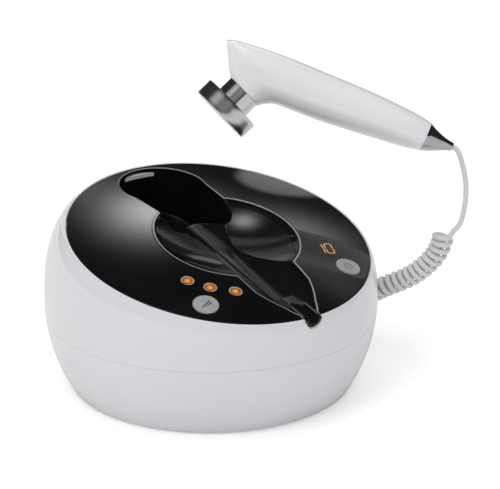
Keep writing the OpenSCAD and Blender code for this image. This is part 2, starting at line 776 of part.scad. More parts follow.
// A control board under the panel, cut back from the rim and from the finger bowl
module control_board(side) {
    far_x = side < 0 ? left_board_far[0] : -left_board_far[0] - board_size[0];
    station(side) translate([0, 0, -board_d - board_t]) linear_extrude(board_t) difference() {
        intersection() {
            translate([far_x, left_board_far[1]]) square(board_size);
            translate([-side * button_u, -button_v]) circle(r = board_reach_r, $fn = 128);
        }
        translate([-side * button_u, -button_v - bowl_shift]) circle(r = bowl_r - 2, $fn = 96);
        for (b = left_bosses) translate([-side * b[0], b[1]])
            circle(r = small_screw_r + screw_gap, $fn = 32);
    }
}

module left_board() { color("#1f6b3a") control_board(-1); }
module right_board() { color("#1f6b3a") control_board(1); }

module panel_board_screws() {
    color("silver") for (side = [-1, 1], b = left_bosses) station(side)
        translate([-side * b[0], b[1], -board_d - board_t])
            screw(small_screw_r - thread_gap, 5.5, small_head_r, small_head_t);
}

module tray_screws() {
    color("silver") tray_screw_places() screw(small_screw_r - thread_gap, 3.7, small_head_r, small_head_t);
}

module casing_screws() {
    color("silver") for (s = casing_screw_spots) translate([s[0], s[1], long_screw_seat])
        screw(long_screw_r - thread_gap, long_screw_l, long_head_r, long_head_t);
}

module main_board() {
    color("#1f6b3a") difference() {
        translate([-main_size[0] / 2, main_y - main_size[1] / 2, main_z])
            cube([main_size[0], main_size[1], board_t]);
        for (s = main_posts) translate([s[0], s[1], main_z - 1])
            cylinder(r = small_screw_r + screw_gap, h = 4, $fn = 32);
    }
}

module main_board_screws() {
    color("silver") for (s = main_posts) translate([s[0], s[1], main_top])
        rotate([180, 0, 0]) screw(small_screw_r - thread_gap, 7, small_head_r, small_head_t);
}

module board_headers() {
    color("#efe9da") for (s = header_spots)
        translate([s[0] - header_size[0] / 2, s[1] - header_size[1] / 2, main_top]) cube(header_size);
}

module rf_transformer() {
    window = [transformer_size[1] - 2 * transformer_leg, transformer_size[2] - 2 * transformer_yoke];
    color("#4a4036") translate([transformer_at[0], transformer_at[1], main_top]) {
        difference() {
            cube(transformer_size);
            translate([-1, transformer_leg, transformer_yoke])
                cube([transformer_size[0] + 2, window[0], window[1]]);
        }
        translate([transformer_size[0] / 2, transformer_size[1] / 2, transformer_yoke - 0.01])
            cylinder(r = coil_former_r, h = window[1] + 0.02, $fn = 48);
    }
}

module heat_sink() {
    pitch = (sink_size[1] - fin_size[1]) / (fin_count - 1);
    color("#b9bcc0") translate([sink_at[0], sink_at[1], main_top]) {
        cube(sink_size);
        for (i = [0 : fin_count - 1]) translate([-fin_size[0], i * pitch, 0])
            cube([fin_size[0] + sink_size[0] / 2, fin_size[1], sink_size[2]]);
    }
}

module driver_transistors() {
    color("#202022") for (y = transistor_in)
        translate([sink_at[0] + sink_size[0], sink_at[1] + y, main_top + transistor_lift]) {
            cube(transistor_size);
            for (k = [-1, 0, 1])
                translate([(transistor_size[0] - leg_w) / 2,
                    (transistor_size[1] - leg_w) / 2 + k * leg_pitch, -transistor_lift])
                    cube([leg_w, leg_w, transistor_lift + leg_w]);
        }
}

module filter_capacitors() {
    color("#3b4a6b") for (p = capacitor_spots) translate([p[0], p[1], main_top])
        cylinder(r = capacitor_r, h = capacitor_h, $fn = 48);
}

module dc_inlet() {
    color("#2a2a2c") on_inlet() {
        difference() {
            union() {
                translate([0, 0, -8]) cylinder(r = inlet_nose_r, h = 8 + inlet_nose_out, $fn = 48);
                translate([-inlet_body / 2, -inlet_body / 2, -inlet_back])
                    cube([inlet_body, inlet_body, inlet_body_l]);
            }
            translate([0, 0, -9]) cylinder(r = inlet_bore_r, h = 20, $fn = 48);
        }
        translate([0, 0, -9.5]) cylinder(r = inlet_pin_r, h = 9, $fn = 32);
    }
}

module inlet_nut() {
    color("silver") on_inlet() difference() {
        cylinder(r = inlet_flange_r, h = 1.6, $fn = 48);
        translate([0, 0, -1]) cylinder(r = inlet_nose_r + fit_gap, h = 5, $fn = 48);
    }
}

// Two wires from the inlet's rear to its header
module inlet_leads() {
    header = [header_spots[2][0], header_spots[2][1], main_top + header_size[2]];
    back = inlet_back + inlet_seat_cut;
    color("#333333") for (x = [-2.6, 2.6]) route_tube([
        wall_point(90, inlet_h, -back, -x), wall_point(90, inlet_h, -back - 5, -x),
        wall_point(90, inlet_h, -back - 14, -x), header + [x, 14, 18], header + [x, 6, 15],
        header + [x, 1, 8], header + [x, 0, 3], header + [x, 0, 0]], 1, 8);
}

// A loom from under a control board down to its header
module board_cable(side) {
    spot = side < 0 ? header_spots[0] : header_spots[1];
    header = [spot[0], spot[1], main_top + header_size[2]];
    under = board_d + board_t;
    route_tube([
        dome_point(side * button_u, button_v, [-side * 8, 5, -under]),
        dome_point(side * button_u, button_v, [-side * 8, 5, -under - 5]),
        dome_point(side * button_u, button_v, [-side * 8, 7, -under - 14]),
        header + [side * 4, -8, 16], header + [0, -1, 8], header + [0, 0, 4], header], cable_r, 8);
}

module left_cable() { color("#777777") board_cable(-1); }
module right_cable() { color("#777777") board_cable(1); }

// The gland: a flange on the wall, a neck through it and the tapered strain relief
module lead_gland() {
    color("#d9d9de") on_gland() rotate_extrude($fn = 48) polygon([
        [lead_r + fit_gap, -10], [gland_neck_r, -10], [gland_neck_r, -gland_cut],
        [gland_flange_r, -gland_cut], [gland_flange_r, -gland_cut + gland_flange_t - 0.6],
        [gland_flange_r - 0.6, -gland_cut + gland_flange_t], [4, -gland_cut + gland_flange_t],
        [lead_r + 1, relief_l], [lead_r + fit_gap, relief_l]]);
}

module gland_nut() {
    color("#c6c6ca") on_gland() translate([0, 0, -casing_t + gland_cut - 3]) difference() {
        cylinder(r = gland_flange_r, h = 3, $fn = 48);
        translate([0, 0, -1]) cylinder(r = gland_neck_r + fit_gap, h = 5, $fn = 48);
    }
}

// The stretch of lead inside the base, from the strain relief's tip to its header
module lead_tail() {
    header = [header_spots[3][0], header_spots[3][1], main_top + header_size[2]];
    color("#d2d2d6") route_tube([
        gland_tip, wall_point(gland_angle, gland_h, 6), wall_point(gland_angle, gland_h, -6),
        wall_point(gland_angle, gland_h, -14), wall_point(gland_angle, gland_h, -24),
        header + [18, 3, 12], header + [7, 1, 11], header + [1, 0, 8], header + [0, 0, 3], header],
        lead_r, 8);
}

module lead_lower() {
    color("#d2d2d6") route_tube(concat([gland_tip, wall_point(gland_angle, gland_h, relief_l + 3)],
        lower_route), lead_r, 8);
}

module lead_coil() {
    color("#d2d2d6") route_tube(coil_route, coil_d / 2, 12);
}

module lead_upper() {
    color("#d2d2d6") route_tube(upper_route, lead_r, 8);
}

// The handle's own +X half with its pegs for the board
module handle_half() {
    rings = [for (s = handle_sections) concat(
        [for (k = [0 : section_steps]) section_point(s, 0, 90 - 180 * k / section_steps)],
        [for (k = [section_steps : -1 : 0]) section_point(s, shell_t, 90 - 180 * k / section_steps)])];
    skin(rings);
    for (y = peg_y) translate([board_t / 2, y, 0]) rotate([0, 90, 0])
        cylinder(r = peg_r, h = handle_w / 2 - 1 - board_t / 2, $fn = 32);
}

module handle_left_shell() { color("#ececf0") in_hand() mirror([1, 0, 0]) handle_half(); }
module handle_right_shell() { color("#ececf0") in_hand() handle_half(); }

module tail_cap() {
    full = 2 * section_steps;
    color("#8d8f94") in_hand() difference() {
        skin([for (s = tail_sections) [for (k = [0 : full - 1]) section_point(s, 0, 90 - 360 * k / full)]]);
        translate([0, -1, 0]) rotate([-90, 0, 0]) cylinder(r = lead_r + fit_gap, h = tail_l + 10, $fn = 32);
    }
}

module handpiece_lead() {
    color("#d2d2d6") in_hand() rotate([-90, 0, 0]) cylinder(r = lead_r, h = hand_board_y[0], $fn = 32);
}

module handpiece_board() {
    color("#1f6b3a") in_hand() translate([-board_t / 2, hand_board_y[0], -hand_board_half])
        cube([board_t, hand_board_y[1] - hand_board_y[0], 2 * hand_board_half]);
}

// The wire from the handpiece's board through the neck to the electrode
module electrode_lead() {
    a = [0, cos(neck_angle), -sin(neck_angle)];
    root = [0, root_at[0], root_at[1]];
    color("#b03a2e") in_hand() route_tube([[0, hand_board_y[1], 2], [0, hand_board_y[1] + 4, 2],
        root - 12 * a, root - 6 * a, root, root + (neck_l + head_wall + carrier_dish) * a], 1, 8);
}

module neck_ring() {
    color("#a9abb0") on_neck() rotate_extrude($fn = 64) polygon([
        [neck_bore_r, -neck_plug_l], [neck_plug_r, -neck_plug_l], [neck_plug_r, 0], [neck_r, 0],
        [neck_r, neck_l], [neck_bore_r, neck_l]]);
}

module electrode_carrier() {
    color("#dcdcdc") on_neck() translate([0, 0, neck_l + head_wall]) difference() {
        cylinder(r = head_r - head_wall - fit_gap, h = head_t - 2 * head_wall - fit_gap, $fn = 64);
        translate([0, 0, -1]) cylinder(r = neck_bore_r, h = 1 + carrier_dish, $fn = 48);
    }
}

// The electrode head: a metal cup with a back plate, its face square to the neck
module electrode_disc() {
    edge = 1;
    color("#b4b6ba") on_neck() translate([0, 0, neck_l]) rotate_extrude($fn = 96) polygon([
        [neck_bore_r, 0], [head_r - edge, 0], [head_r, edge], [head_r, head_t - edge],
        [head_r - edge, head_t], [0, head_t], [0, head_t - head_wall],
        [head_r - head_wall, head_t - head_wall], [head_r - head_wall, head_wall], [neck_bore_r, head_wall]]);
}

base_pad();
lower_casing();
upper_casing();
top_panel();
cradle_tray();
level_button();
time_button();
level_plunger();
time_plunger();
level_switch();
time_switch();
lamp_lens(0);  // lamp_lens_1
lamp_lens(1);  // lamp_lens_2
lamp_lens(2);  // lamp_lens_3
lamp_leds();
display_window();
display_module();
left_board();
right_board();
panel_board_screws();
tray_screws();
casing_screws();
main_board();
main_board_screws();
board_headers();
rf_transformer();
heat_sink();
driver_transistors();
filter_capacitors();
dc_inlet();
inlet_nut();
inlet_leads();
left_cable();
right_cable();
lead_gland();
gland_nut();
lead_tail();
lead_lower();
lead_coil();
lead_upper();
handle_left_shell();
handle_right_shell();
tail_cap();
handpiece_lead();
handpiece_board();
electrode_lead();
neck_ring();
electrode_carrier();
electrode_disc();
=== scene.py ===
"""Looks of a facial toning device: a domed base with a cradle, and a handpiece on a curly lead.

Lengths in the classes are millimetres and are turned into metres when a mesh is made.
u, v, w name the tilted panel's own frame: u along +X, v up the slope, w off the panel.
"""

import functools
import logging
import math
from contextlib import contextmanager
from dataclasses import dataclass
from enum import Enum
from typing import Callable, Iterable, Iterator, Sequence

import bmesh
import bpy
import numpy as np
from mathutils import Euler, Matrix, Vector


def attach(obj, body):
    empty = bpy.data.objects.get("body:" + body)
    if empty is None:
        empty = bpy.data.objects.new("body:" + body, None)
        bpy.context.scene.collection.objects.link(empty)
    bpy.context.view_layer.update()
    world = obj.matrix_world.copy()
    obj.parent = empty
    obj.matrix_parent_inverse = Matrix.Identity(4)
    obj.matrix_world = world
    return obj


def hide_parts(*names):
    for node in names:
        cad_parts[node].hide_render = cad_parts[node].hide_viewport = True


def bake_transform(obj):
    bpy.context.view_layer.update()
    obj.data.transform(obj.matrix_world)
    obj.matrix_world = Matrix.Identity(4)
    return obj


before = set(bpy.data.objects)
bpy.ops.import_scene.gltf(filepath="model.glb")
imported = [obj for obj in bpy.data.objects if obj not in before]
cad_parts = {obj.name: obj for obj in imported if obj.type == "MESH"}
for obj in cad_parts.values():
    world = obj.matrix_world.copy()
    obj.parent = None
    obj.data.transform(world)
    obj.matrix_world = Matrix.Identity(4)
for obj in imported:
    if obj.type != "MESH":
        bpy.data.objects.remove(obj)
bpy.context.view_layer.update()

logging.basicConfig(level=logging.INFO, format="%(message)s")
log = logging.getLogger("scene")

MM = 0.001
WELD = 2e-6  # metres within which vertices are merged
SLIVER = 1e-6  # metres below which an edge is dissolved
RELIEF = 0.0002  # metres of depth of every bump
HALVINGS = 40
Array = np.ndarray
Colour = tuple[float, float, float]
Object = bpy.types.Object
Socket = bpy.types.NodeSocket
Placing = Callable[[Array], Array]

class Body(str, Enum):
    """CAD bodies that the pieces ride on."""

    BASE = "base"
    LEVEL_KEY = "level_key"
    TIME_KEY = "time_key"
    HANDPIECE = "handpiece"


class Side(int, Enum):
    """Side of the device, as the sign of u."""

    LEFT = -1
    RIGHT = 1


# ---------------------------------------------------------------- curves and grids


def circle(angles: Array) -> Array:
    """Points (..., 2) of the unit circle."""
    return np.stack([np.cos(angles), np.sin(angles)], axis=-1)


def bezier(a: Array, b: Array, c: Array, n: int) -> Array:
    """n points of the curve (1-t)^2 a + 2t(1-t) b + t^2 c, along a new first axis."""
    t = np.linspace(0, 1, n).reshape((n,) + (1,) * np.ndim(a))
    return (1 - t) ** 2 * a + 2 * t * (1 - t) * b + t**2 * c


def spline(points: Array, steps: int) -> Array:
    """Catmull-Rom curve through points: 0.5((2p1) + (p2-p0)t + (2p0-5p1+4p2-p3)t^2 + (3p1-p0-3p2+p3)t^3).

    Args:
        points: Array (n, k).
        steps: Steps between two neighbouring points.

    Returns:
        Array ((n - 1) * steps + 1, k).
    """
    p = np.vstack([2 * points[0] - points[1], points, 2 * points[-1] - points[-2]])
    t = np.linspace(0, 1, steps, endpoint=False)[None, :, None]
    p0, p1, p2, p3 = (p[i : len(p) - 3 + i][:, None, :] for i in range(4))
    body = 0.5 * (2 * p1 + (p2 - p0) * t + (2 * p0 - 5 * p1 + 4 * p2 - p3) * t**2
                  + (3 * p1 - p0 - 3 * p2 + p3) * t**3)
    return np.vstack([body.reshape(-1, points.shape[1]), points[-1:]])


def even(points: Array, spacing: float) -> Array:
    """The same line with its points evenly spaced along it.

    Args:
        points: Array (n, 3).
        spacing: Wanted distance between points.

    Returns:
        Array (m, 3).
    """
    s = np.concatenate([[0], np.cumsum(np.linalg.norm(np.diff(points, axis=0), axis=1))])
    n = max(2, int(round(s[-1] / spacing)) + 1)
    q = np.linspace(0, s[-1], n)
    return np.stack([np.interp(q, s, points[:, k]) for k in range(points.shape[1])], axis=1)


def carried_frames(points: Array) -> tuple[Array, Array, Array]:
    """Tangent and two side directions along a line, carried without twisting.

    Args:
        points: Array (n, 3).

    Returns:
        Tangents, first sides and second sides, each (n, 3).
    """
    tangent = np.gradient(points, axis=0)
    tangent /= np.linalg.norm(tangent, axis=1, keepdims=True)
    side = np.empty_like(tangent)
    a = np.array([tangent[0][1], -tangent[0][0], 0.3])
    for i, t in enumerate(tangent):
        a = a - (a @ t) * t
        a /= np.linalg.norm(a)
        side[i] = a
    return tangent, side, np.cross(tangent, side)


def grid_faces(rows: int, cols: int, close_rows: bool, close_cols: bool) -> Array:
    """Quads of a grid whose vertices run row by row.

    Args:
        rows: Number of rows.
        cols: Number of vertices in a row.
        close_rows: Join the last row to the first.
        close_cols: Join each row's end to its start.

    Returns:
        Array (faces, 4) of vertex numbers.
    """
    i = np.arange(rows if close_rows else rows - 1)[:, None]
    k = np.arange(cols if close_cols else cols - 1)[None, :]
    i2, k2 = (i + 1) % rows, (k + 1) % cols
    quads = np.stack([i * cols + k, i * cols + k2, i2 * cols + k2, i2 * cols + k], axis=-1)
    return quads.reshape(-1, 4)


@dataclass
class Grid:
    """A grid of points in millimetres that becomes part of a mesh."""

    points: Array
    close_rows: bool = False
    close_cols: bool = False
    cap_ends: bool = False

    def data(self, start: int) -> tuple[Array, list[list[int]]]:
        """Vertices in metres and faces numbered from start.

        Args:
            start: Number of the first vertex.

        Returns:
            Vertices (n, 3) and a list of faces.
        """
        rows, cols = self.points.shape[:2]
        faces = (grid_faces(rows, cols, self.close_rows, self.close_cols) + start).tolist()
        if self.cap_ends:
            faces.append([start + k for k in range(cols - 1, -1, -1)])
            faces.append([start + (rows - 1) * cols + k for k in range(cols)])
        return self.points.reshape(-1, 3) * MM, faces


def halved(inside: Callable[[Array], Array], high: Array) -> tuple[Array, Array]:
    """Closes in on where a test stops holding, between 0 and high.

    Args:
        inside: Test that holds below that place.
        high: Upper bounds.

    Returns:
        The last values that passed and the first that didn't.
    """
    low = np.zeros_like(high)
    for _ in range(HALVINGS):
        mid = (low + high) / 2
        held = inside(mid)
        low, high = np.where(held, mid, low), np.where(held, high, mid)
    return low, high


def lathe(profile: Array, segments: int, place: Placing | None = None) -> Grid:
    """Turns a profile about Z: (r cos a, r sin a, z).

    Args:
        profile: Array (n, 2) of radius and height.
        segments: Steps round.
        place: Moves points (..., 3) into the part's frame.

    Returns:
        The grid, closed round.
    """
    a = np.linspace(0, 2 * math.pi, segments, endpoint=False)[None, :]
    r, z = profile[:, :1], profile[:, 1:]
    points = np.stack([r * np.cos(a), r * np.sin(a), z + 0 * a], axis=-1)
    return Grid(place(points) if place else points, close_cols=True)


@contextmanager
def edited(mesh: bpy.types.Mesh) -> Iterator[bmesh.types.BMesh]:
    """Opens a mesh for editing and writes it back.

    Args:
        mesh: Mesh to edit.

    Returns:
        The open mesh, in a with block.
    """
    bm = bmesh.new()
    bm.from_mesh(mesh)
    yield bm
    bm.to_mesh(mesh)
    bm.free()


def mesh_object(name: str, grids: Sequence[Grid]) -> Object:
    """Makes one mesh object from grids, at the origin.

    Args:
        name: Name of the object and its mesh.
        grids: Grids in millimetres.

    Returns:
        The object.
    """
    vertices: list[Array] = []
    faces: list[list[int]] = []
    count = 0
    for grid in grids:
        v, f = grid.data(count)
        vertices.append(v)
        faces.extend(f)
        count += len(v)
    mesh = bpy.data.meshes.new(name)
    mesh.from_pydata(np.vstack(vertices).tolist(), [], faces)
    obj = bpy.data.objects.new(name, mesh)
    bpy.context.scene.collection.objects.link(obj)
    return obj


def make_piece(name: str, grids: Sequence[Grid], body: Body, slot: str, replaces: Iterable[str] = (),
               sharp: float = 30.0, finish: str = "", outward: bool = True,
               tools: Sequence[Object] = ()) -> Object:
    """Makes one piece, puts it on its body, cuts it and dresses it.

    Args:
        name: Piece name.
        grids: Grids in millimetres.
        body: CAD body that it rides on.
        slot: Material slot name, used as the finish where no finish is given.
        replaces: CAD nodes that it stands for.
        sharp: Angle in degrees above which an edge stays sharp.
        finish: Finish name, where it isn't the slot's.
        outward: Turn the faces outward, for closed shapes.
        tools: Objects that cut it and are removed.

    Returns:
        The object.
    """
    obj = mesh_object(name, grids)
    clean(obj.data, sharp, outward)
    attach(obj, body.value)
    for node in replaces:
        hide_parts(node)
    if tools:
        cut_with(obj, tools)
        clean(obj.data, sharp, False)
    dress(obj, finish or slot)
    log.info("piece %s: %d faces", name, len(obj.data.polygons))
    return obj


def clean(mesh: bpy.types.Mesh, sharp: float, outward: bool) -> None:
    """Merges doubled vertices, turns faces outward and marks sharp edges.

    Args:
        mesh: Mesh to clean.
        sharp: Angle in degrees above which an edge stays sharp.
        outward: Turn the faces outward.
    """
    limit = math.radians(sharp)
    with edited(mesh) as bm:
        bmesh.ops.remove_doubles(bm, verts=bm.verts, dist=WELD)
        bmesh.ops.dissolve_degenerate(bm, edges=bm.edges, dist=SLIVER)
        if outward:
            bmesh.ops.recalc_face_normals(bm, faces=bm.faces)
        for face in bm.faces:
            face.smooth = True
        for edge in bm.edges:
            edge.smooth = len(edge.link_faces) != 2 or edge.calc_face_angle(0) < limit
    mesh.update()


def cutter(grid: Grid) -> Object:
    """A closed mesh object that only cuts.

    Args:
        grid: Closed grid.

    Returns:
        The object.
    """
    obj = mesh_object("cutter", [grid])
    with edited(obj.data) as bm:
        bmesh.ops.recalc_face_normals(bm, faces=bm.faces)
    return obj


def cut_with(obj: Object, cutters: Sequence[Object]) -> None:
    """Cuts an object with others, keeps the result in its mesh and removes the cutters.

    Args:
        obj: Object to cut.
        cutters: Cutting objects.
    """
    for tool in cutters:
        modifier = obj.modifiers.new("cut", "BOOLEAN")
        modifier.operation = "DIFFERENCE"
        modifier.solver = "EXACT"
        modifier.object = tool
    bpy.context.view_layer.update()
    result = bpy.data.meshes.new_from_object(obj.evaluated_get(bpy.context.evaluated_depsgraph_get()))
    obj.modifiers.clear()
    old, name = obj.data, obj.data.name
    obj.data = result
    bpy.data.meshes.remove(old)
    result.name = name
    for tool in cutters:
        data = tool.data
        bpy.data.objects.remove(tool)
        bpy.data.meshes.remove(data)


def set_attribute(obj: Object, name: str, values: Array) -> None:
    """Stores one number per vertex for the material."""
    attribute = obj.data.attributes.new(name, "FLOAT", "POINT")
    attribute.data.foreach_set("value", np.asarray(values, dtype=np.float32))


def read_all(items: bpy.types.bpy_prop_collection, key: str, width: int, kind: type = np.float32) -> Array:
    """One property of every vertex or corner of a mesh.

    Args:
        items: The vertices, loops or corner normals.
        key: Name of the property.
        width: How many numbers each has.
        kind: Their type.

    Returns:
        Array (n, width).
    """
    values = np.empty(len(items) * width, dtype=kind)
    items.foreach_get(key, values)
    return values.reshape(-1, width)


def vertices_mm(obj: Object) -> Array:
    """The vertices of a mesh in millimetres."""
    return read_all(obj.data.vertices, "co", 3).astype(float) / MM


# ---------------------------------------------------------------- materials


class Nodes:
    """A node tree with short ways to add, fill and link nodes."""

    def __init__(self, tree: bpy.types.NodeTree) -> None:
        """Keeps the tree."""
        self.tree = tree

    def feed(self, node: bpy.types.Node, inputs: dict) -> None:
        """Fills a node's inputs.

        Args:
            node: Node to fill.
            inputs: A socket to link or a value, by the input's name or number.
        """
        for key, value in inputs.items():
            if isinstance(value, Socket):
                self.tree.links.new(value, node.inputs[key])
            else:
                node.inputs[key].default_value = value

    def add(self, kind: str, inputs: dict | None = None, output: str | int = 0,
            **settings: object) -> Socket:
        """Adds a node.

        Args:
            kind: Node type without its leading ShaderNode.
            inputs: What feeds it.
            output: Name or number of the wanted output.
            settings: The node's own properties.

        Returns:
            The output.
        """
        node = self.tree.nodes.new(f"ShaderNode{kind}")
        for key, value in settings.items():
            setattr(node, key, value)
        self.feed(node, inputs or {})
        return node.outputs[output]

    def math(self, operation: str, *values: Socket | float) -> Socket:
        """The result of a math node."""
        return self.add("Math", dict(enumerate(values)), operation=operation)

    def mix(self, factor: Socket, a: Socket, b: Socket | Colour) -> Socket:
        """The mix of two colours."""
        end = b if isinstance(b, Socket) else (*b, 1)
        return self.add("Mix", {"Factor": factor, "A": a, "B": end}, "Result", data_type="RGBA")

    def spread(self, value: Socket, low: float, high: float,
               to: Sequence[Socket | float] = (0.0, 1.0)) -> Socket:
        """A value spread from the range low to high to another range."""
        return self.add("MapRange", {"Value": value, "From Min": low, "From Max": high, "To Min": to[0],
                                     "To Max": to[1]}, "Result")

    def noise(self, scale: Socket | float, detail: float) -> Socket:
        """Noise on Object coordinates."""
        where = self.add("TexCoord", output="Object")
        return self.add("TexNoise", {"Vector": where, "Scale": scale, "Detail": detail}, "Fac")

    def bump(self, height: Socket, strength: Socket) -> Socket:
        """The normal of a fine relief."""
        return self.add("Bump", {"Distance": RELIEF, "Strength": strength, "Height": height}, "Normal")

    def attribute(self, name: str) -> Socket:
        """A vertex attribute's value."""
        return self.add("Attribute", output="Fac", attribute_name=name)


class GroupKit:
    """Shader node groups shared by the finishes. Each has one output."""

    def __init__(self) -> None:
        """Makes the groups."""
        self.grain = self._new("fine_grain", {"Scale": 900, "Strength": 0.05}, self._grain)
        self.tone = self._new("tone_drift", {"Colour A": None, "Colour B": None, "Scale": 30}, self._tone)
        self.sheen = self._new("handling_sheen", {"Low": 0.1, "High": 0.2, "Scale": 60}, self._sheen)
        self.dust = self._new("dust_specks", {"Scale": 400, "Amount": 0.1}, self._dust)
        self.brushed = self._new("brushed_lines", {"Position": 0, "Scale": 4000, "Strength": 0.1},
                                 self._brushed)

    @staticmethod
    def _new(name: str, inputs: dict[str, float | None],
             fill: Callable[[Nodes, bpy.types.NodeOutputs], Socket]) -> bpy.types.NodeTree:
        """Makes a group.

        Args:
            name: Group name.
            inputs: Each input's default, or None for a colour.
            fill: Adds the nodes and gives the result.

        Returns:
            The group.
        """
        tree = bpy.data.node_groups.new(name, "ShaderNodeTree")
        for label, default in inputs.items():
            kind = "NodeSocketColor" if default is None else "NodeSocketFloat"
            socket = tree.interface.new_socket(name=label, in_out="INPUT", socket_type=kind)
            if default is not None:
                socket.default_value = default
        result = fill(Nodes(tree), tree.nodes.new("NodeGroupInput").outputs)
        kind = {"VALUE": "Float", "VECTOR": "Vector", "RGBA": "Color"}[result.type]
        tree.interface.new_socket(name="Result", in_out="OUTPUT", socket_type=f"NodeSocket{kind}")
        tree.links.new(result, tree.nodes.new("NodeGroupOutput").inputs[0])
        return tree

    @staticmethod
    def _grain(nodes: Nodes, given: bpy.types.NodeOutputs) -> Socket:
        """Fine moulded grain, as a normal."""
        return nodes.bump(nodes.noise(given["Scale"], 2), given["Strength"])

    @staticmethod
    def _tone(nodes: Nodes, given: bpy.types.NodeOutputs) -> Socket:
        """Slow drift between two close colours."""
        share = nodes.spread(nodes.noise(given["Scale"], 3), 0.35, 0.65)
        return nodes.mix(share, given["Colour A"], given["Colour B"])

    @staticmethod
    def _sheen(nodes: Nodes, given: bpy.types.NodeOutputs) -> Socket:
        """Roughness that varies with handling marks."""
        return nodes.spread(nodes.noise(given["Scale"], 4), 0.3, 0.7, (given["Low"], given["High"]))

    @staticmethod
    def _dust(nodes: Nodes, given: bpy.types.NodeOutputs) -> Socket:
        """Sparse fine dust specks, as a mask."""
        return nodes.spread(nodes.noise(given["Scale"], 5), 0.62, 0.8, (0.0, given["Amount"]))

    @staticmethod
    def _brushed(nodes: Nodes, given: bpy.types.NodeOutputs) -> Socket:
        """Fine brushed lines along a position, as a normal."""
        lines = nodes.add("TexNoise", {"W": given["Position"], "Scale": given["Scale"], "Detail": 3}, "Fac",
                          noise_dimensions="1D")
        return nodes.bump(lines, given["Strength"])


@functools.cache
def group_kit() -> GroupKit:
    """The shared groups, made when first asked for."""
    return GroupKit()


def new_material(name: str) -> tuple[bpy.types.Material, Nodes, bpy.types.Node]:
    """A node material, its tree and its shader.

    Args:
        name: Name of the material.

    Returns:
        The three of them.
    """
    made = bpy.data.materials.new(name)
    made.use_nodes = True
    return made, Nodes(made.node_tree), made.node_tree.nodes["Principled BSDF"]


@dataclass(frozen=True)
class Finish:
    """One surface finish, built as a node material."""

    name: str
    colour: Colour
    colour_b: Colour
    rough: tuple[float, float] = (0.2, 0.3)
    metallic: float = 0.0
    coat: float = 0.0
    coat_rough: float = 0.04
    grain_scale: float = 900.0
    grain_strength: float = 0.05
    tone_scale: float = 25.0
    sheen_scale: float = 50.0
    dust: float = 0.0
    dust_colour: Colour = (0.45, 0.45, 0.47)
    brush_scale: float = 0.0
    brush_strength: float = 0.1
    subsurface: float = 0.0
    subsurface_scale: float = 0.002
    # Grey of a painted highlight, mixed in where the vertex attribute 'edge' is 1
    edge: Colour | None = None

    def build(self) -> bpy.types.Material:
        """Builds the material, with brushed lines along the attribute 'along' or with fine grain.

        Returns:
            The material.
        """
        kit = group_kit()
        made, nodes, shader = new_material(self.name)
        nodes.feed(shader, {"Metallic": self.metallic, "Coat Weight": self.coat,
                            "Coat Roughness": self.coat_rough, "Subsurface Weight": self.subsurface,
                            "Subsurface Scale": self.subsurface_scale})
        colour = nodes.add("Group", {"Colour A": (*self.colour, 1), "Colour B": (*self.colour_b, 1),
                                     "Scale": self.tone_scale}, node_tree=kit.tone)
        if self.dust:
            specks = nodes.add("Group", {"Amount": self.dust}, node_tree=kit.dust)
            colour = nodes.mix(specks, colour, self.dust_colour)
        # Painted highlight: the attribute 'edge' mixes a light grey into the colour on the panel's rounded
        # edge
        if self.edge:
            colour = nodes.mix(nodes.attribute("edge"), colour, self.edge)
        sheen = nodes.add("Group", {"Low": self.rough[0], "High": self.rough[1], "Scale": self.sheen_scale},
                          node_tree=kit.sheen)
        if self.brush_scale:
            normal = nodes.add("Group", {"Position": nodes.attribute("along"), "Scale": self.brush_scale,
                                         "Strength": self.brush_strength}, node_tree=kit.brushed)
        else:
            normal = nodes.add("Group", {"Scale": self.grain_scale, "Strength": self.grain_strength},
                               node_tree=kit.grain)
        nodes.feed(shader, {"Base Color": colour, "Roughness": sheen, "Normal": normal})
        return made


@dataclass(frozen=True)
class Glow:
    """A lit lens or segment: emission that falls off with the attribute 'radial'."""

    name: str
    core: Colour
    rim: Colour
    ring: Colour
    strength: float
    ripple: float = 0.16
    ripple_scale: float = 700.0

    def build(self) -> bpy.types.Material:
        """Builds the material.

        Returns:
            The material.
        """
        made, nodes, shader = new_material(self.name)
        stops = [(0.0, self.core), (0.45, self.rim), (0.72, tuple(c * 0.12 for c in self.rim)),
                 (0.84, self.ring), (0.97, tuple(c * 0.2 for c in self.ring))]
        place = nodes.math("MULTIPLY_ADD", nodes.noise(self.ripple_scale, 2), self.ripple,
                           nodes.attribute("radial"))
        colour = nodes.add("ValToRGB", {"Fac": place}, "Color")
        elements = colour.node.color_ramp.elements
        for element, (position, shade) in zip(elements, (stops[0], stops[-1])):
            element.position, element.color = position, (*shade, 1)
        for position, shade in stops[1:-1]:
            elements.new(position).color = (*shade, 1)
        nodes.feed(shader, {"Roughness": 0.12, "Base Color": colour, "Emission Color": colour,
                            "Emission Strength": self.strength})
        return made


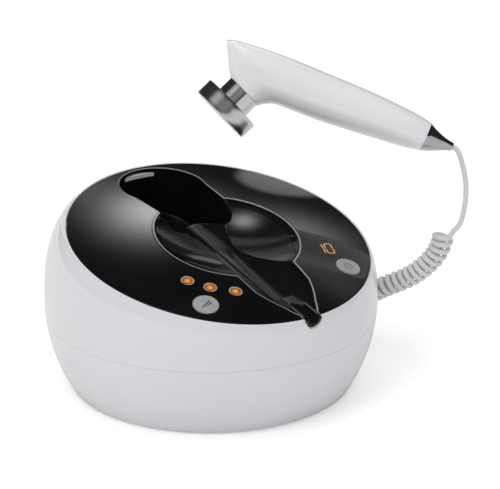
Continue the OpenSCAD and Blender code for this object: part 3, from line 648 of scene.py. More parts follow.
FINISHES: tuple[Finish, ...] = (
    Finish("casing_white", (0.77, 0.765, 0.785), (0.74, 0.735, 0.76), (0.16, 0.24), coat=0.5,
           grain_strength=0.012, tone_scale=9, dust=0.03),
    Finish("handle_white", (0.9, 0.895, 0.915), (0.87, 0.865, 0.885), (0.14, 0.22), coat=0.6,
           grain_strength=0.01, tone_scale=14),
    # panel_black's edge colour is a painted highlight in light grey along the opening's rounded edge
    Finish("panel_black", (0.0035, 0.0035, 0.004), (0.005, 0.005, 0.006), (0.03, 0.06),
           grain_strength=0.004, dust=0.004, edge=(0.3, 0.3, 0.31)),
    Finish("cradle_black", (0.004, 0.004, 0.0045), (0.006, 0.006, 0.007), (0.09, 0.14),
           grain_strength=0.01, dust=0.006),
    Finish("button_grey", (0.36, 0.36, 0.37), (0.32, 0.32, 0.33), (0.3, 0.42), grain_strength=0.08,
           grain_scale=2500, tone_scale=120),
    Finish("glyph_dark", (0.05, 0.05, 0.055), (0.07, 0.07, 0.075), (0.4, 0.5)),
    Finish("head_chrome", (0.66, 0.66, 0.67), (0.6, 0.6, 0.61), (0.12, 0.18), metallic=1,
           brush_scale=1400, brush_strength=0.03),
    Finish("head_brushed", (0.62, 0.62, 0.625), (0.55, 0.55, 0.56), (0.2, 0.27), metallic=1,
           brush_scale=1800, brush_strength=0.08),
    Finish("tail_chrome", (0.5, 0.5, 0.52), (0.46, 0.46, 0.48), (0.08, 0.13), metallic=1,
           grain_strength=0.01),
    Finish("lead_grey", (0.75, 0.75, 0.755), (0.69, 0.69, 0.695), (0.38, 0.5), grain_strength=0.1,
           grain_scale=1800, subsurface=0.05),
    Finish("pad_rubber", (0.03, 0.03, 0.032), (0.045, 0.045, 0.047), (0.7, 0.85), grain_strength=0.35,
           grain_scale=1400, dust=0.1),
    Finish("dark_plastic", (0.02, 0.02, 0.022), (0.03, 0.03, 0.032), (0.35, 0.5), grain_strength=0.1),
    Finish("cream_plastic", (0.7, 0.65, 0.5), (0.62, 0.58, 0.46), (0.4, 0.5), grain_strength=0.08),
    Finish("board_green", (0.02, 0.12, 0.045), (0.03, 0.16, 0.06), (0.3, 0.45), tone_scale=220,
           grain_strength=0.1),
    Finish("switch_metal", (0.6, 0.6, 0.6), (0.5, 0.5, 0.5), (0.25, 0.35), metallic=1),
    Finish("screw_steel", (0.55, 0.55, 0.56), (0.45, 0.45, 0.46), (0.25, 0.4), metallic=1),
    Finish("sink_aluminium", (0.7, 0.71, 0.72), (0.62, 0.63, 0.64), (0.3, 0.45), metallic=1),
    Finish("wire_grey", (0.18, 0.18, 0.19), (0.24, 0.24, 0.25), (0.4, 0.55), grain_strength=0.1),
)
GLOWS: tuple[Glow, ...] = (
    Glow("lamp_amber", (0.62, 0.29, 0.06), (0.42, 0.13, 0.02), (0.36, 0.27, 0.22), 0.62),
    Glow("digit_amber", (0.36, 0.19, 0.08), (0.36, 0.19, 0.08), (0.36, 0.19, 0.08), 0.6),
)


@functools.cache
def palette() -> dict[str, bpy.types.Material]:
    """Every material by name, built when first asked for."""
    return {look.name: look.build() for look in (*FINISHES, *GLOWS)}


def dress(obj: Object, name: str) -> None:
    """Gives an object one material.

    Args:
        obj: Mesh object.
        name: Finish name.
    """
    if not obj.material_slots:
        obj.data.materials.append(palette()[name])
    for slot in obj.material_slots:
        slot.material = palette()[name]


# ---------------------------------------------------------------- the panel's frame


@dataclass(frozen=True)
class PanelPlane:
    """The tilted panel and its dome."""

    tilt: float = math.radians(14)
    height: float = 91.0
    shift: float = 8.5947
    radius: float = 90.6
    rise: float = 8.0
    thickness: float = 2.5

    @property
    def dome_r(self) -> float:
        """Radius of the ball whose cap is the dome."""
        return (self.radius**2 + self.rise**2) / (2 * self.rise)

    def place(self, u: Array, v: Array, w: Array) -> Array:
        """Points of the panel's frame in the part's frame.

        Args:
            u: Across.
            v: Up the slope.
            w: Off the panel.

        Returns:
            Array (..., 3).
        """
        u, v, w = np.broadcast_arrays(u, v, w)
        c, s = math.cos(self.tilt), math.sin(self.tilt)
        return np.stack([u, v * c - w * s - self.shift, v * s + w * c + self.height], axis=-1)

    def points(self, p: Array) -> Array:
        """The same for points given as one array (..., 3)."""
        return self.place(p[..., 0], p[..., 1], p[..., 2])

    def dome(self, d: Array) -> Array:
        """Height of the dome at distance d from its middle."""
        return np.sqrt(self.dome_r**2 - np.square(d)) - (self.dome_r - self.rise)

    def square_on(self, u: float, v: float) -> Placing:
        """A placing of local points with their Z square to the dome at (u, v).

        Args:
            u: Across.
            v: Up the slope.

        Returns:
            Function that turns points (..., 3) into the part's frame.
        """
        a = math.atan2(v, u)
        lean = math.asin(math.hypot(u, v) / self.dome_r)
        ca, sa, cl, sl = math.cos(a), math.sin(a), math.cos(lean), math.sin(lean)

        def place(p: Array) -> Array:
            """Turns about Z to the point's direction, leans out and turns back.

            Args:
                p: Local points (..., 3).

            Returns:
                The same points in the part's frame.
            """
            x = p[..., 0] * ca + p[..., 1] * sa
            y = p[..., 1] * ca - p[..., 0] * sa
            z = p[..., 2] + self.dome_r
            x, z = x * cl + z * sl, z * cl - x * sl
            return self.place(x * ca - y * sa, x * sa + y * ca, z + self.rise - self.dome_r)

        return place

    def centre(self) -> Array:
        """Middle of the dome's ball in the part's frame."""
        return self.place(0.0, 0.0, self.rise - self.dome_r)


PANEL = PanelPlane()
NO_FLOOR = 60.0  # height that stands for no surface


@dataclass(frozen=True)
class CradleShape:
    """The hollow of the cradle, as heights over the panel's plane."""

    well_r: float = 26.7
    well_v: float = 61.0
    well_kink: float = math.radians(20)
    well_depth: float = 32.0
    side_u: float = 22.5
    corner_r: float = 8.0
    corner_v: float = 14.0
    tongue_v: float = 27.5
    trough_axis: float = 18.2
    trough_ends: tuple[float, ...] = (-90, -80, -69, -62)
    trough_radii: tuple[float, ...] = (18.6, 19.6, 22.3, 23.8)
    bowl_r: float = 43.8
    bowl_v: float = -7.7
    bowl_depth: float = 4.6
    notch_r: float = 4.2
    notch_axis: float = 0.1
    spout_r: float = 5.8
    spout_gap: float = 0.1
    spout_v: float = -78.0
    front_v: float = -90.0
    crease_round: float = 0.2

    @property
    def corner_u(self) -> float:
        """Sideways place of the middle of the well's front corners."""
        return self.side_u - self.corner_r

    @property
    def corner_mid(self) -> float:
        """Place of that middle along the slope."""
        return self.corner_v + self.corner_r

    @property
    def tongue_k(self) -> float:
        """Bend of the tongue's edge, which ends at the corners."""
        return (self.tongue_v - self.corner_v) / self.corner_u**2

    @property
    def top_v(self) -> float:
        """Where the well's sides meet the arc round the head."""
        return self.well_v - self.well_r * math.sin(self.well_kink)

    @property
    def cut_r(self) -> float:
        """Half-width of the spout's cut."""
        return self.spout_r + self.spout_gap

    @property
    def bowl_ball(self) -> float:
        """Radius of the ball that hollows the finger bowl."""
        drop = float(PANEL.dome(self.bowl_r)) + self.bowl_depth
        return (self.bowl_r**2 + drop**2) / (2 * drop)

    def side_line(self, v: Array) -> Array:
        """Half-width of the well's straight sides, from the corners to the head's arc."""
        widening = self.well_r * math.cos(self.well_kink) - self.side_u
        return self.side_u + widening * (v - self.corner_mid) / (self.top_v - self.corner_mid)

    def corner_arc(self, v: Array, r: float) -> Array:
        """Half-width of a front corner of radius r at v."""
        return self.corner_u + np.sqrt(np.maximum(r**2 - np.square(v - self.corner_mid), 0))

    def tongue_line(self, u: Array) -> Array:
        """The tongue's edge: tongue_v - k u^2."""
        return self.tongue_v - self.tongue_k * np.square(u)

    def trough_floor(self, u: Array, v: Array) -> Array:
        """Height of the trough's surface: axis - sqrt(R(v)^2 - u^2).

        Args:
            u: Across.
            v: Up the slope.

        Returns:
            Height w.
        """
        inside = np.square(np.interp(v, self.trough_ends, self.trough_radii)) - np.square(u)
        w = self.trough_axis - np.sqrt(np.maximum(inside, 0))
        return np.where((inside > 0) & (v <= self.tongue_v + 0.5) & (v >= self.front_v), w, NO_FLOOR)

    def bowl_floor(self, u: Array, v: Array) -> Array:
        """Height of the bowl's surface, a ball's lower half."""
        inside = self.bowl_ball**2 - np.square(u) - np.square(v - self.bowl_v)
        return self.bowl_ball - self.bowl_depth - np.sqrt(np.maximum(inside, 0))

    def well_half(self, v: Array) -> Array:
        """Half-width of the well's outline at v: corner arc, straight side, arc round the head.

        Args:
            v: Up the slope.

        Returns:
            Half-width u.
        """
        head = np.sqrt(np.maximum(self.well_r**2 - np.square(v - self.well_v), 0))
        rear = np.where(v > self.top_v, head, self.side_line(v))
        return np.where(v < self.corner_mid, self.corner_arc(v, self.corner_r), rear)

    def floor(self, u: Array, v: Array) -> Array:
        """Lower of bowl and trough, with the ridge between them rounded by a smooth minimum.

        Args:
            u: Across.
            v: Up the slope.

        Returns:
            Height w.
        """
        a, b = self.bowl_floor(u, v), self.trough_floor(u, v)
        k = self.crease_round
        h = np.maximum(k - np.abs(a - b), 0) / k
        return np.minimum(a, b) - h**3 * k / 6

    def cavity(self, u: Array, v: Array) -> Array:
        """Height of the hollow's surface anywhere, the well and the spout's cut included.

        Args:
            u: Across.
            v: Up the slope.

        Returns:
            Height w.
        """
        in_well = (np.abs(u) < self.well_half(v)) & (v > self.corner_v) & (v > self.tongue_line(u))
        w = np.where(in_well, -self.well_depth, self.floor(u, v))
        bar = self.notch_axis - np.sqrt(np.maximum(self.cut_r**2 - np.square(u), 0))
        in_bar = (np.abs(u) < self.cut_r) & (v < self.spout_v)
        return np.where(in_bar, np.minimum(w, bar), w)

    def half_width(self, surface: Callable[[Array, Array], Array], v: Array, depth: float) -> Array:
        """Half-width at which a surface lies depth below the dome.

        Args:
            surface: Height of the surface at (u, v).
            v: Places along the slope.
            depth: Depth below the dome.

        Returns:
            Half-width at each v, 0 where the surface is never that deep.
        """
        low, _ = halved(lambda u: surface(u, v) < PANEL.dome(np.hypot(u, v)) - depth, np.full_like(v, 60.0))
        return np.where(surface(np.zeros_like(v), v) < PANEL.dome(np.abs(v)) - depth, low, 0.0)

    def outline(self) -> Array:
        """The right half of the opening's outline on the dome, from the front to the rear.

        Its points are even, with one more pair wherever another form makes the edge.

        Returns:
            Array (n, 2) of u, v.
        """
        v = np.arange(-math.sqrt(PANEL.radius**2 - self.cut_r**2), self.top_v, 0.05)
        widths = np.stack([
            self.half_width(self.trough_floor, v, 0.0), self.half_width(self.bowl_floor, v, 0.0),
            np.where(v > self.corner_v, self.well_half(v), 0), np.where(v < self.spout_v, self.cut_r, 0)])
        keep = np.zeros(len(v), bool)
        keep[::28] = True
        change = np.flatnonzero(np.diff(widths.argmax(axis=0)))
        keep[change] = keep[change + 1] = True
        side = np.stack([widths.max(axis=0)[keep], v[keep]], axis=1)
        q = np.linspace(-self.well_kink, math.pi / 2, 40)
        return np.vstack([side, [0, self.well_v] + self.well_r * circle(q)])


CRADLE = CradleShape()


@dataclass(frozen=True)
class ControlPlaces:
    """Places and sizes of what sits in the panel."""

    button_u: float = 51.5
    button_v: float = -58.8
    button_r: float = 7.5
    button_gap: float = 0.3
    button_proud: float = 0.5
    button_depth: float = 5.2
    lamp_r: float = 4.0
    lamp_gap: float = 0.1
    lamp_arc: float = 56.7
    lamp_angles: tuple[float, ...] = (-149.5, -135.7, -121.0)
    window_v: float = -39.4
    window_w: float = 17.0
    window_l: float = 16.0
    window_gap: float = 0.1

    def lamps(self) -> Array:
        """The lamps' places (u, v), left to right."""
        return [0, CRADLE.bowl_v] + self.lamp_arc * circle(np.radians(self.lamp_angles))


CONTROLS = ControlPlaces()


# ---------------------------------------------------------------- base


@dataclass
class Casing:
    """The two white casing halves."""

    base_r: float = 100.0
    equator: float = 52.6
    belly: float = 98.0
    seam: float = 44.0
    seam_step: float = 0.25
    seam_round: float = 0.07
    wall: float = 2.8
    pad_t: float = 1.2
    floor_t: float = 3.0
    floor_r: float = 60.0
    tongue_h: float = 3.0
    tongue_t: float = 1.4
    gap: float = 0.1
    opening_r: float = 90.9
    lip_w: float = 1.5
    rim_round: float = 0.9
    ledge_r: float = 86.1
    ledge_t: float = 2.5
    power: float = 2.37  # roundness of the upper wall
    reach: float = 0.95  # share of its curve that the wall follows
    segments: int = 240

    def radius(self, z: Array) -> Array:
        """Radius of the lower half: base_r sqrt(1 - ((equator - z) / belly)^2)."""
        return self.base_r * np.sqrt(1 - np.square((self.equator - z) / self.belly))

    def upper(self, f: Array, r: float, rim: float, w: float) -> Array:
        """Points of the upper wall: from the equator circle to the tilted rim circle.

        Args:
            f: Share of the height, shape (n,).
            r: Radius at the equator.
            rim: Radius at the rim.
            w: Height of the rim off the panel's plane.

        Returns:
            Array (n, segments, 3).
        """
        g, g1 = ((1 - (self.reach * x) ** self.power) ** (1 / self.power) for x in (f, 1))
        s = (g - g1) / (1 - g1)
        share = np.stack([s, s, 1 - f], axis=-1)[:, None]
        foot = lathe(np.array([[r, self.equator]]), self.segments).points
        top = lathe(np.array([[rim, w]]), self.segments, PANEL.points).points
        return top + (foot - top) * share

    def build(self) -> None:
        """Makes the upper and the lower casing."""
        lower = lathe(self._lower_profile(), self.segments)
        spout = spout_cutter(CRADLE.spout_r + self.gap)
        for name, grid, tools in (("upper", self._upper_half(), [spout]), ("lower", lower, [])):
            make_piece(f"casing_{name}", [grid], Body.BASE, "casing_white", [f"{name}_casing"], sharp=40,
                       tools=tools)

    def _upper_half(self) -> Grid:
        """The ring above the seam, from its outside over the lip and the ledge to its tongue.

        Returns:
            The grid, closed both ways.
        """
        rim, r_seam = self.opening_r + self.lip_w, self.radius(self.seam)
        z = np.linspace(self.seam + self.seam_step, self.equator, 8)[:-1]
        outer = np.vstack([[r_seam - self.seam_step, self.seam],
                           [r_seam - self.seam_round, self.seam + self.seam_round],
                           np.stack([self.radius(z), z], axis=1)])
        half = self.lip_w / 2
        arc = circle(np.radians(np.arange(22.5, 180, 22.5)))
        lip = [rim - half, -self.rim_round] + arc * [half, self.rim_round]
        under = -PANEL.thickness - self.ledge_t
        ledge = [(self.opening_r, -self.rim_round), (self.opening_r, -PANEL.thickness),
                 (self.ledge_r, -PANEL.thickness), (self.ledge_r, under)]
        z_in, tongue_r = self.seam + self.tongue_h + self.gap, r_seam - self.tongue_t
        inside = np.array([[self.radius(z_in) - self.wall, z_in], [tongue_r, z_in], [tongue_r, self.seam]])
        return Grid(np.concatenate([
            lathe(outer, self.segments).points,
            self.upper(np.linspace(0, 1, 34), self.base_r, rim, -self.rim_round),
            lathe(np.vstack([lip, ledge]), self.segments, PANEL.points).points,
            self.upper(np.linspace(0, 1, 12)[:-1], self.base_r - self.wall, rim - self.wall, under)[::-1],
            lathe(inside, self.segments).points]), close_rows=True, close_cols=True)

    def _lower_profile(self) -> Array:
        """Radius and height of the belly from the middle of its underside to the middle of its floor.

        Returns:
            Array (n, 2).
        """
        r_seam, seam_top, floor = self.radius(self.seam), self.seam + self.tongue_h, self.pad_t + self.floor_t
        z = np.linspace(self.pad_t, self.seam - self.seam_step, 40)
        z_in = np.linspace(self.seam, floor, 24)
        step_r = r_seam - self.tongue_t - self.gap
        return np.vstack([
            [[0, self.pad_t], [self.floor_r, self.pad_t]],
            np.stack([self.radius(z), z], axis=1),
            [[r_seam - self.seam_round, self.seam - self.seam_round], [r_seam - self.seam_step, self.seam],
             [step_r, self.seam], [step_r, seam_top], [r_seam - self.wall, seam_top]],
            np.stack([self.radius(z_in) - self.wall, z_in], axis=1),
            [[self.floor_r, floor], [0, floor]]])


def spout_cutter(radius: float, ends: Sequence[float] = (-84.0, -112.0)) -> Object:
    """A bar along the spout's axis that cuts the front edge.

    Args:
        radius: Bar radius.
        ends: Where it starts and ends along the slope.

    Returns:
        The cutting object.
    """
    ring = circle(np.linspace(0, 2 * math.pi, 96, endpoint=False)) * radius
    rows = [PANEL.place(ring[:, 0], v, CRADLE.notch_axis + ring[:, 1]) for v in ends]
    return cutter(Grid(np.stack(rows), close_cols=True, cap_ends=True))


@dataclass
class TopPanel:
    """The black panel: a dome with the cradle's opening, and holes for the controls."""

    edge_round: float = 0.8
    # Reach and fade of the painted highlight along the opening's rounded edge
    edge_reach: float = 0.36
    edge_fade: float = 0.15
    bead: float = 0.16
    crest_set: float = 0.05  # how far in from the outline the bead's crest is
    crest_lift: float = 1.6  # height of that crest, in beads
    rim_set: float = 0.5  # how far in from the rim its rounding starts
    flat_r: float = 86.0  # radius from which the underside is flat
    wall_depths: tuple[float, ...] = (1.9, 1.3, 0.9)
    crowding: float = 1.3  # how strongly the rows crowd towards the opening
    rows: int = 26
    tool_reach: float = 12.0

    def build(self) -> None:
        """Makes the panel."""
        half = CRADLE.outline()
        line = np.vstack([half, (half[:-1] * [-1, 1])[::-1]])
        r0 = np.hypot(line[:, 0], line[:, 1])
        grid = Grid(self._sections(r0, line / r0[:, None]), close_cols=True, cap_ends=True)
        holes = [(s * CONTROLS.button_u, CONTROLS.button_v, CONTROLS.button_r + CONTROLS.button_gap)
                 for s in Side]
        holes += [(u, v, CONTROLS.lamp_r + CONTROLS.lamp_gap) for u, v in CONTROLS.lamps()]
        round_way = circle(np.linspace(0, 2 * math.pi, 96, endpoint=False))
        tools = [self._tool(r * round_way, u, v) for u, v, r in holes]
        x, y = CONTROLS.window_w / 2 + CONTROLS.window_gap, CONTROLS.window_l / 2 + CONTROLS.window_gap
        tools.append(self._tool(np.array([[-x, -y], [x, -y], [x, y], [-x, y]]), CONTROLS.button_u,
                                CONTROLS.window_v))
        panel = make_piece("panel_dome", [grid], Body.BASE, "panel_black", ["top_panel"], sharp=50,
                           tools=tools)
        steady_normals(panel)
        # The attribute 'edge' carries the painted highlight along the opening
        set_attribute(panel, "edge", self._edge_mask(vertices_mm(panel), line))

    def _edge_mask(self, vertices: Array, line: Array) -> Array:
        """Where the painted highlight goes: 1 on the opening's rounded edge and 0 beyond it.

        Args:
            vertices: Vertices (n, 3) in the part's frame.
            line: The opening's outline (m, 2).

        Returns:
            One value per vertex.
        """
        path = even(np.vstack([line, line[:1]]), 0.3)
        crest = PANEL.place(path[:, 0], path[:, 1], PANEL.dome(np.hypot(path[:, 0], path[:, 1])))
        nearest = [np.min(np.linalg.norm(block[:, None] - crest[None], axis=2), axis=1)
                   for block in np.array_split(vertices, len(vertices) // 500 + 1)]
        return np.clip((self.edge_reach - np.concatenate(nearest)) / self.edge_fade + 1, 0, 1)

    def _sections(self, r0: Array, way: Array) -> Array:
        """Closed cross-sections along the outline: top, rim, underside and inner wall.

        Args:
            r0: Distance of the outline from the middle.
            way: Directions (n, 2) from the middle.

        Returns:
            Array (n, m, 3).
        """
        def inner(depth: float) -> Array:
            """Radius from which the hollow's surface is less than a depth below the dome."""
            return halved(lambda r: PANEL.dome(r) - CRADLE.cavity(*(r * way.T)) > depth, r0)[1]

        def ring(r: Array | float, w: Array | float) -> Array:
            """Radius and height of every section."""
            return np.stack([r + 0 * r0, w + 0 * r0], axis=-1)

        t = PANEL.thickness
        reach = PANEL.radius - self.rim_set
        start = np.minimum(r0 + self.edge_round, reach - 0.2)
        radii = start + (reach - start) * np.linspace(0, 1, self.rows)[:, None] ** self.crowding
        tops = ring(radii, PANEL.dome(radii) + self.bead * np.exp(-np.square(radii - r0)))
        rim = bezier(ring(reach, PANEL.dome(reach)), ring(PANEL.radius, PANEL.dome(PANEL.radius)),
                     ring(PANEL.radius, -self.rim_set), 6)
        rings = [tops, rim[1:], ring(PANEL.radius, -t)[None]]
        for share in (0.25, 0.5, 0.75, 1.0):
            r = PANEL.radius + (inner(t) - PANEL.radius) * share
            rings.append(ring(r, np.where(r < self.flat_r, PANEL.dome(r) - t, -t))[None])
        radii = np.stack([inner(depth) for depth in self.wall_depths])
        walls = ring(radii, PANEL.dome(radii) - np.array(self.wall_depths)[:, None])
        crest = ring(r0 - self.crest_set, PANEL.dome(r0) + self.bead * self.crest_lift)
        rings += [walls[:-1], bezier(walls[-1], crest, tops[0], 9)[:-1]]
        table = np.concatenate(rings)
        points = PANEL.place(table[..., 0] * way[:, 0], table[..., 0] * way[:, 1], table[..., 1])
        return points.transpose(1, 0, 2)

    def _tool(self, outline: Array, u: float, v: float) -> Object:
        """A bar square to the dome at (u, v), with the given outline."""
        return cutter(thin_plate(outline, PANEL.square_on(u, v), -self.tool_reach, self.tool_reach))


def steady_normals(obj: Object, near: float = 0.025, facing: float = 0.9) -> None:
    """Gives each corner on the dome the ball's own normal, so that reflections stay smooth.

    Args:
        obj: Panel or window.
        near: How far off the dome a vertex may be, in millimetres.
        facing: Least cosine between a corner's normal and the ball's.
    """
    mesh = obj.data
    vertex_of = read_all(mesh.loops, "vertex_index", 1, np.int32).ravel()
    out = read_all(mesh.vertices, "co", 3) - PANEL.centre() * MM
    distance = np.linalg.norm(out, axis=1)
    current = read_all(mesh.corner_normals, "vector", 3)
    target = (out / distance[:, None])[vertex_of]
    on_dome = np.abs(distance - PANEL.dome_r * MM)[vertex_of] < near * MM
    outward = (current * target).sum(axis=1) > facing
    chosen = np.where((on_dome & outward)[:, None], target, current)
    mesh.normals_split_custom_set(chosen.astype(float).tolist())


@dataclass
class CradleTray:
    """The moulded hollow under the panel: trough, finger bowls, head well and spout."""

    top_gap: float = 2.6
    lip_round: float = 0.7
    taper_v: float = -62.0
    lip_end_v: float = 31.5
    foot: float = 3.0
    well_middle: tuple[float, float] = (0.0, 46.0)
    well_reach: float = 24.0  # from that middle to the wall, about
    spout_end: float = -93.0
    crowding: float = 3.0  # how strongly the bowls' points crowd towards the ridge
    step: float = 0.02  # sampling step and least clearance

    def build(self) -> None:
        """Makes the tray."""
        grids = [self._trough(), self._front(), *self._bowls(), self._well(), self._spout()]
        tray = make_piece("cradle_hollow", grids, Body.BASE, "panel_black", ["cradle_tray"], sharp=24,
                          finish="cradle_black", outward=False)
        above = Vector(PANEL.place(0.0, 20.0, NO_FLOOR) * MM)
        with edited(tray.data) as bm:
            for face in bm.faces:
                if face.normal.dot(above - face.calc_center_median()) < 0:
                    face.normal_flip()

    def _crease(self, v: Array) -> Array:
        """Half-width of the ridge between trough and bowl, or of the opening where no bowl is."""
        low, _ = halved(lambda u: CRADLE.trough_floor(u, v) < CRADLE.bowl_floor(u, v), np.full_like(v, 30.0))
        return np.minimum(low, CRADLE.half_width(CRADLE.trough_floor, v, self.top_gap))

    def _lip_v(self, u: Array) -> Array:
        """Place of the tongue's rounded lip at u, set in from the tongue's edge."""
        return CRADLE.tongue_line(u) - self.lip_round * np.sqrt(1 + np.square(2 * CRADLE.tongue_k * u))

    def _trough(self) -> Grid:
        """The trough from its straight part to the tongue's lip: u = q c(v), w = floor(u, v).

        Returns:
            The grid.
        """
        q = -np.cos(np.linspace(0, math.pi, 65))
        end = np.full_like(q, 12.0)
        for _ in range(HALVINGS):
            end = 0.5 * end + 0.5 * self._lip_v(q * self._crease(end))
        v = self.taper_v + (end[None, :] - self.taper_v) * np.linspace(0, 1, 110)[:, None]
        u = q[None, :] * self._crease(v.ravel()).reshape(v.shape)
        return Grid(PANEL.place(u, v, CRADLE.floor(u, v)))

    def _front(self) -> Grid:
        """The tapering front of the trough with the lead's groove in it.

        Returns:
            The grid.
        """
        v = np.linspace(CRADLE.front_v + self.step, self.taper_v, 57)[:, None]
        a = np.radians(np.linspace(-90, 90, 25))[None, :]
        groove_u = CRADLE.notch_r * np.sin(a) + 0 * v
        groove_w = CRADLE.notch_axis - CRADLE.notch_r * np.cos(a) + 0 * v
        half = np.maximum(CRADLE.half_width(CRADLE.trough_floor, v.ravel(), self.top_gap)[:, None],
                          CRADLE.notch_r + 0.05)
        start = CRADLE.notch_r + self.step
        right_u = start + (half - start) * np.linspace(0, 1, 18)[None, :]
        beside = np.full(right_u.shape, NO_FLOOR)
        u = np.concatenate([-right_u[:, ::-1], groove_u, right_u], axis=1)
        w = np.concatenate([beside, groove_w, beside], axis=1)
        return Grid(PANEL.place(u, v + 0 * u, np.minimum(w, CRADLE.trough_floor(u, v + 0 * u))))

    def _bowls(self) -> list[Grid]:
        """The two finger bowls, from the ridge or the well's lip to the opening's edge.

        Returns:
            Their grids.
        """
        v = np.arange(-60.0, 34.0, self.step)
        lip_r = CRADLE.corner_r + self.lip_round
        start = CRADLE.corner_mid - lip_r
        beside_well = np.where(v > CRADLE.corner_mid, CRADLE.side_line(v) + self.lip_round,
                               CRADLE.corner_arc(v, lip_r))
        inner = np.where(v < start, self._crease(v), beside_well)
        outer = CRADLE.half_width(CRADLE.bowl_floor, v, self.top_gap)
        span = v[outer - inner > self.step]
        rows = np.concatenate([np.linspace(span[0], start - self.step, 90),
                               CRADLE.corner_mid - lip_r * np.cos(np.radians(np.linspace(0, 90, 26))),
                               np.linspace(CRADLE.corner_mid, span[-1], 14)[1:]])[:, None]
        near, far = np.interp(rows, v, inner), np.interp(rows, v, outer)
        share = np.expm1(self.crowding * np.linspace(0, 1, 30))[None, :] / math.expm1(self.crowding)
        u = near + (far - near) * share
        w = CRADLE.floor(u, rows + 0 * u)
        return [Grid(PANEL.place(side * u, rows, w)) for side in Side]

    @staticmethod
    def _loop(grow: float) -> Array:
        """The well's outline grown by a distance: head arc, left side and corner, tongue, right corner, side.

        Args:
            grow: Distance outward.

        Returns:
            Array (n, 2) of u, v, with as many points for every distance.
        """
        q = np.linspace(-CRADLE.well_kink, math.pi + CRADLE.well_kink, 90)
        head = [0, CRADLE.well_v] + (CRADLE.well_r + grow) * circle(q)
        q = np.radians(np.linspace(180, 270, 25))
        corner = [-CRADLE.corner_u, CRADLE.corner_mid] + (CRADLE.corner_r + grow) * circle(q)
        t = np.linspace(-CRADLE.corner_u, CRADLE.corner_u, 61)
        normal = np.stack([2 * CRADLE.tongue_k * t, np.ones_like(t)], axis=1)
        normal /= np.linalg.norm(normal, axis=1, keepdims=True)
        tongue = np.stack([t, CRADLE.tongue_line(t)], axis=1) - grow * normal
        drop = (tongue[0, 1] - corner[-1, 1]) * normal[0, 0] / normal[0, 1]
        tip = np.array([[tongue[0, 0] + drop, corner[-1, 1]]])
        left = head[-1] + (corner[0] - head[-1]) * np.linspace(0, 1, 26)[1:-1, None]
        side = np.vstack([left, corner, tip])
        return np.vstack([head, side, tongue, (side * [-1, 1])[::-1]])

    def _well(self) -> Grid:
        """The head well: a rounded lip, a straight wall, a rounded foot and a flat floor.

        Returns:
            The grid.
        """
        wall, wide = self._loop(0.0), self._loop(self.lip_round)

        def at(line: Array, w: Array | float) -> Array:
            """A line at a height."""
            return np.column_stack([line, w + np.zeros(len(line))])

        under_panel = PANEL.dome(np.hypot(wall[:, 0], wall[:, 1])) - self.top_gap
        floor, floor_wide = (CRADLE.floor(line[:, 0], line[:, 1]) for line in (wall, wide))
        by_lip = ((floor < under_panel) & (wall[:, 1] < self.lip_end_v))[:, None]
        a = np.where(by_lip, at(wide, floor_wide), at(wall, under_panel))
        b = np.where(by_lip, at(wall, floor), at(wall, under_panel))
        c = b - [0, 0, self.lip_round]
        middle, deep = np.array(self.well_middle), -CRADLE.well_depth
        tight = middle + (wall - middle) * (1 - self.foot / self.well_reach)
        low = at(wall, deep + self.foot)
        table = np.concatenate([
            bezier(a, b, c, 7), c + (low - c) * np.linspace(0, 1, 8)[1:-1, None, None],
            bezier(low, at(wall, deep), at(tight, deep), 7),
            [at(middle + (tight - middle) * s, deep) for s in (0.7, 0.4, 0.15, 0.0)]])
        return Grid(PANEL.points(table), close_cols=True)

    def _spout(self) -> Grid:
        """The spout at the front: a half pipe whose edges follow the dome.

        Returns:
            The grid.
        """
        rows = []
        for v in np.linspace(CRADLE.spout_v, self.spout_end, 18):
            top = (float(PANEL.dome(abs(v))) - self.step - CRADLE.notch_axis) / CRADLE.spout_r
            drop = math.degrees(math.asin(max(-0.9, min(0.0, top))))
            way = circle(np.radians(np.linspace(180 - drop, 360 + drop, 33)))
            ring = np.concatenate([CRADLE.spout_r * way, CRADLE.notch_r * way[::-1]])
            rows.append(PANEL.place(ring[:, 0], v, CRADLE.notch_axis + ring[:, 1]))
        return Grid(np.stack(rows), close_cols=True, cap_ends=True)


# ---------------------------------------------------------------- controls

SEGMENTS: dict[str, tuple[tuple[float, float], tuple[float, float]]] = {
    "a": ((0, 2), (1, 2)), "b": ((1, 1), (1, 2)), "c": ((1, 0), (1, 1)), "d": ((0, 0), (1, 0)),
    "e": ((0, 0), (0, 1)), "f": ((0, 1), (0, 2)), "g": ((0, 1), (1, 1))}
DIGITS: dict[str, str] = {"0": "abcdef", "1": "bc", "2": "abged", "3": "abgcd"}


def stroke(a: Array, b: Array, width: float) -> Array:
    """The six corners of a segment with pointed ends, which keep clear of the next segment's.

    Args:
        a: Start in the plane.
        b: End in the plane.
        width: Stroke width.

    Returns:
        Array (6, 2).
    """
    d = (b - a) / np.linalg.norm(b - a)
    n = np.array([-d[1], d[0]]) * width / 2
    trim, tip = d * width * 0.12, d * width / 2
    a, b = a + trim, b - trim
    return np.array([a, a + tip - n, b - tip - n, b, b - tip + n, a + tip + n])


def digit(name: str, corner: Sequence[float], size: Sequence[float], width: float,
          slant: float) -> list[Array]:
    """The strokes of one seven-segment digit.

    Args:
        name: The digit.
        corner: Its lower left corner.
        size: Width and half-height.
        width: Stroke width.
        slant: Shift to the right per unit of height.

    Returns:
        Outlines.
    """
    lean = np.array([[1.0, 0.0], [slant, 1.0]])
    return [stroke(*(corner + (np.array(SEGMENTS[key]) * size) @ lean), width) for key in DIGITS[name]]


def box(x: float, y: float, width: float, height: float) -> Array:
    """Corners of a rectangle from its lower left one."""
    return np.array([[x, y], [x + width, y], [x + width, y + height], [x, y + height]])


def half_band(r: float, width: float, start: float) -> Array:
    """Outline of half a ring about the origin, from a start angle in degrees."""
    way = circle(np.radians(np.linspace(start, start + 180, 24)))
    return np.vstack([way * (r + width / 2), (way * (r - width / 2))[::-1]])


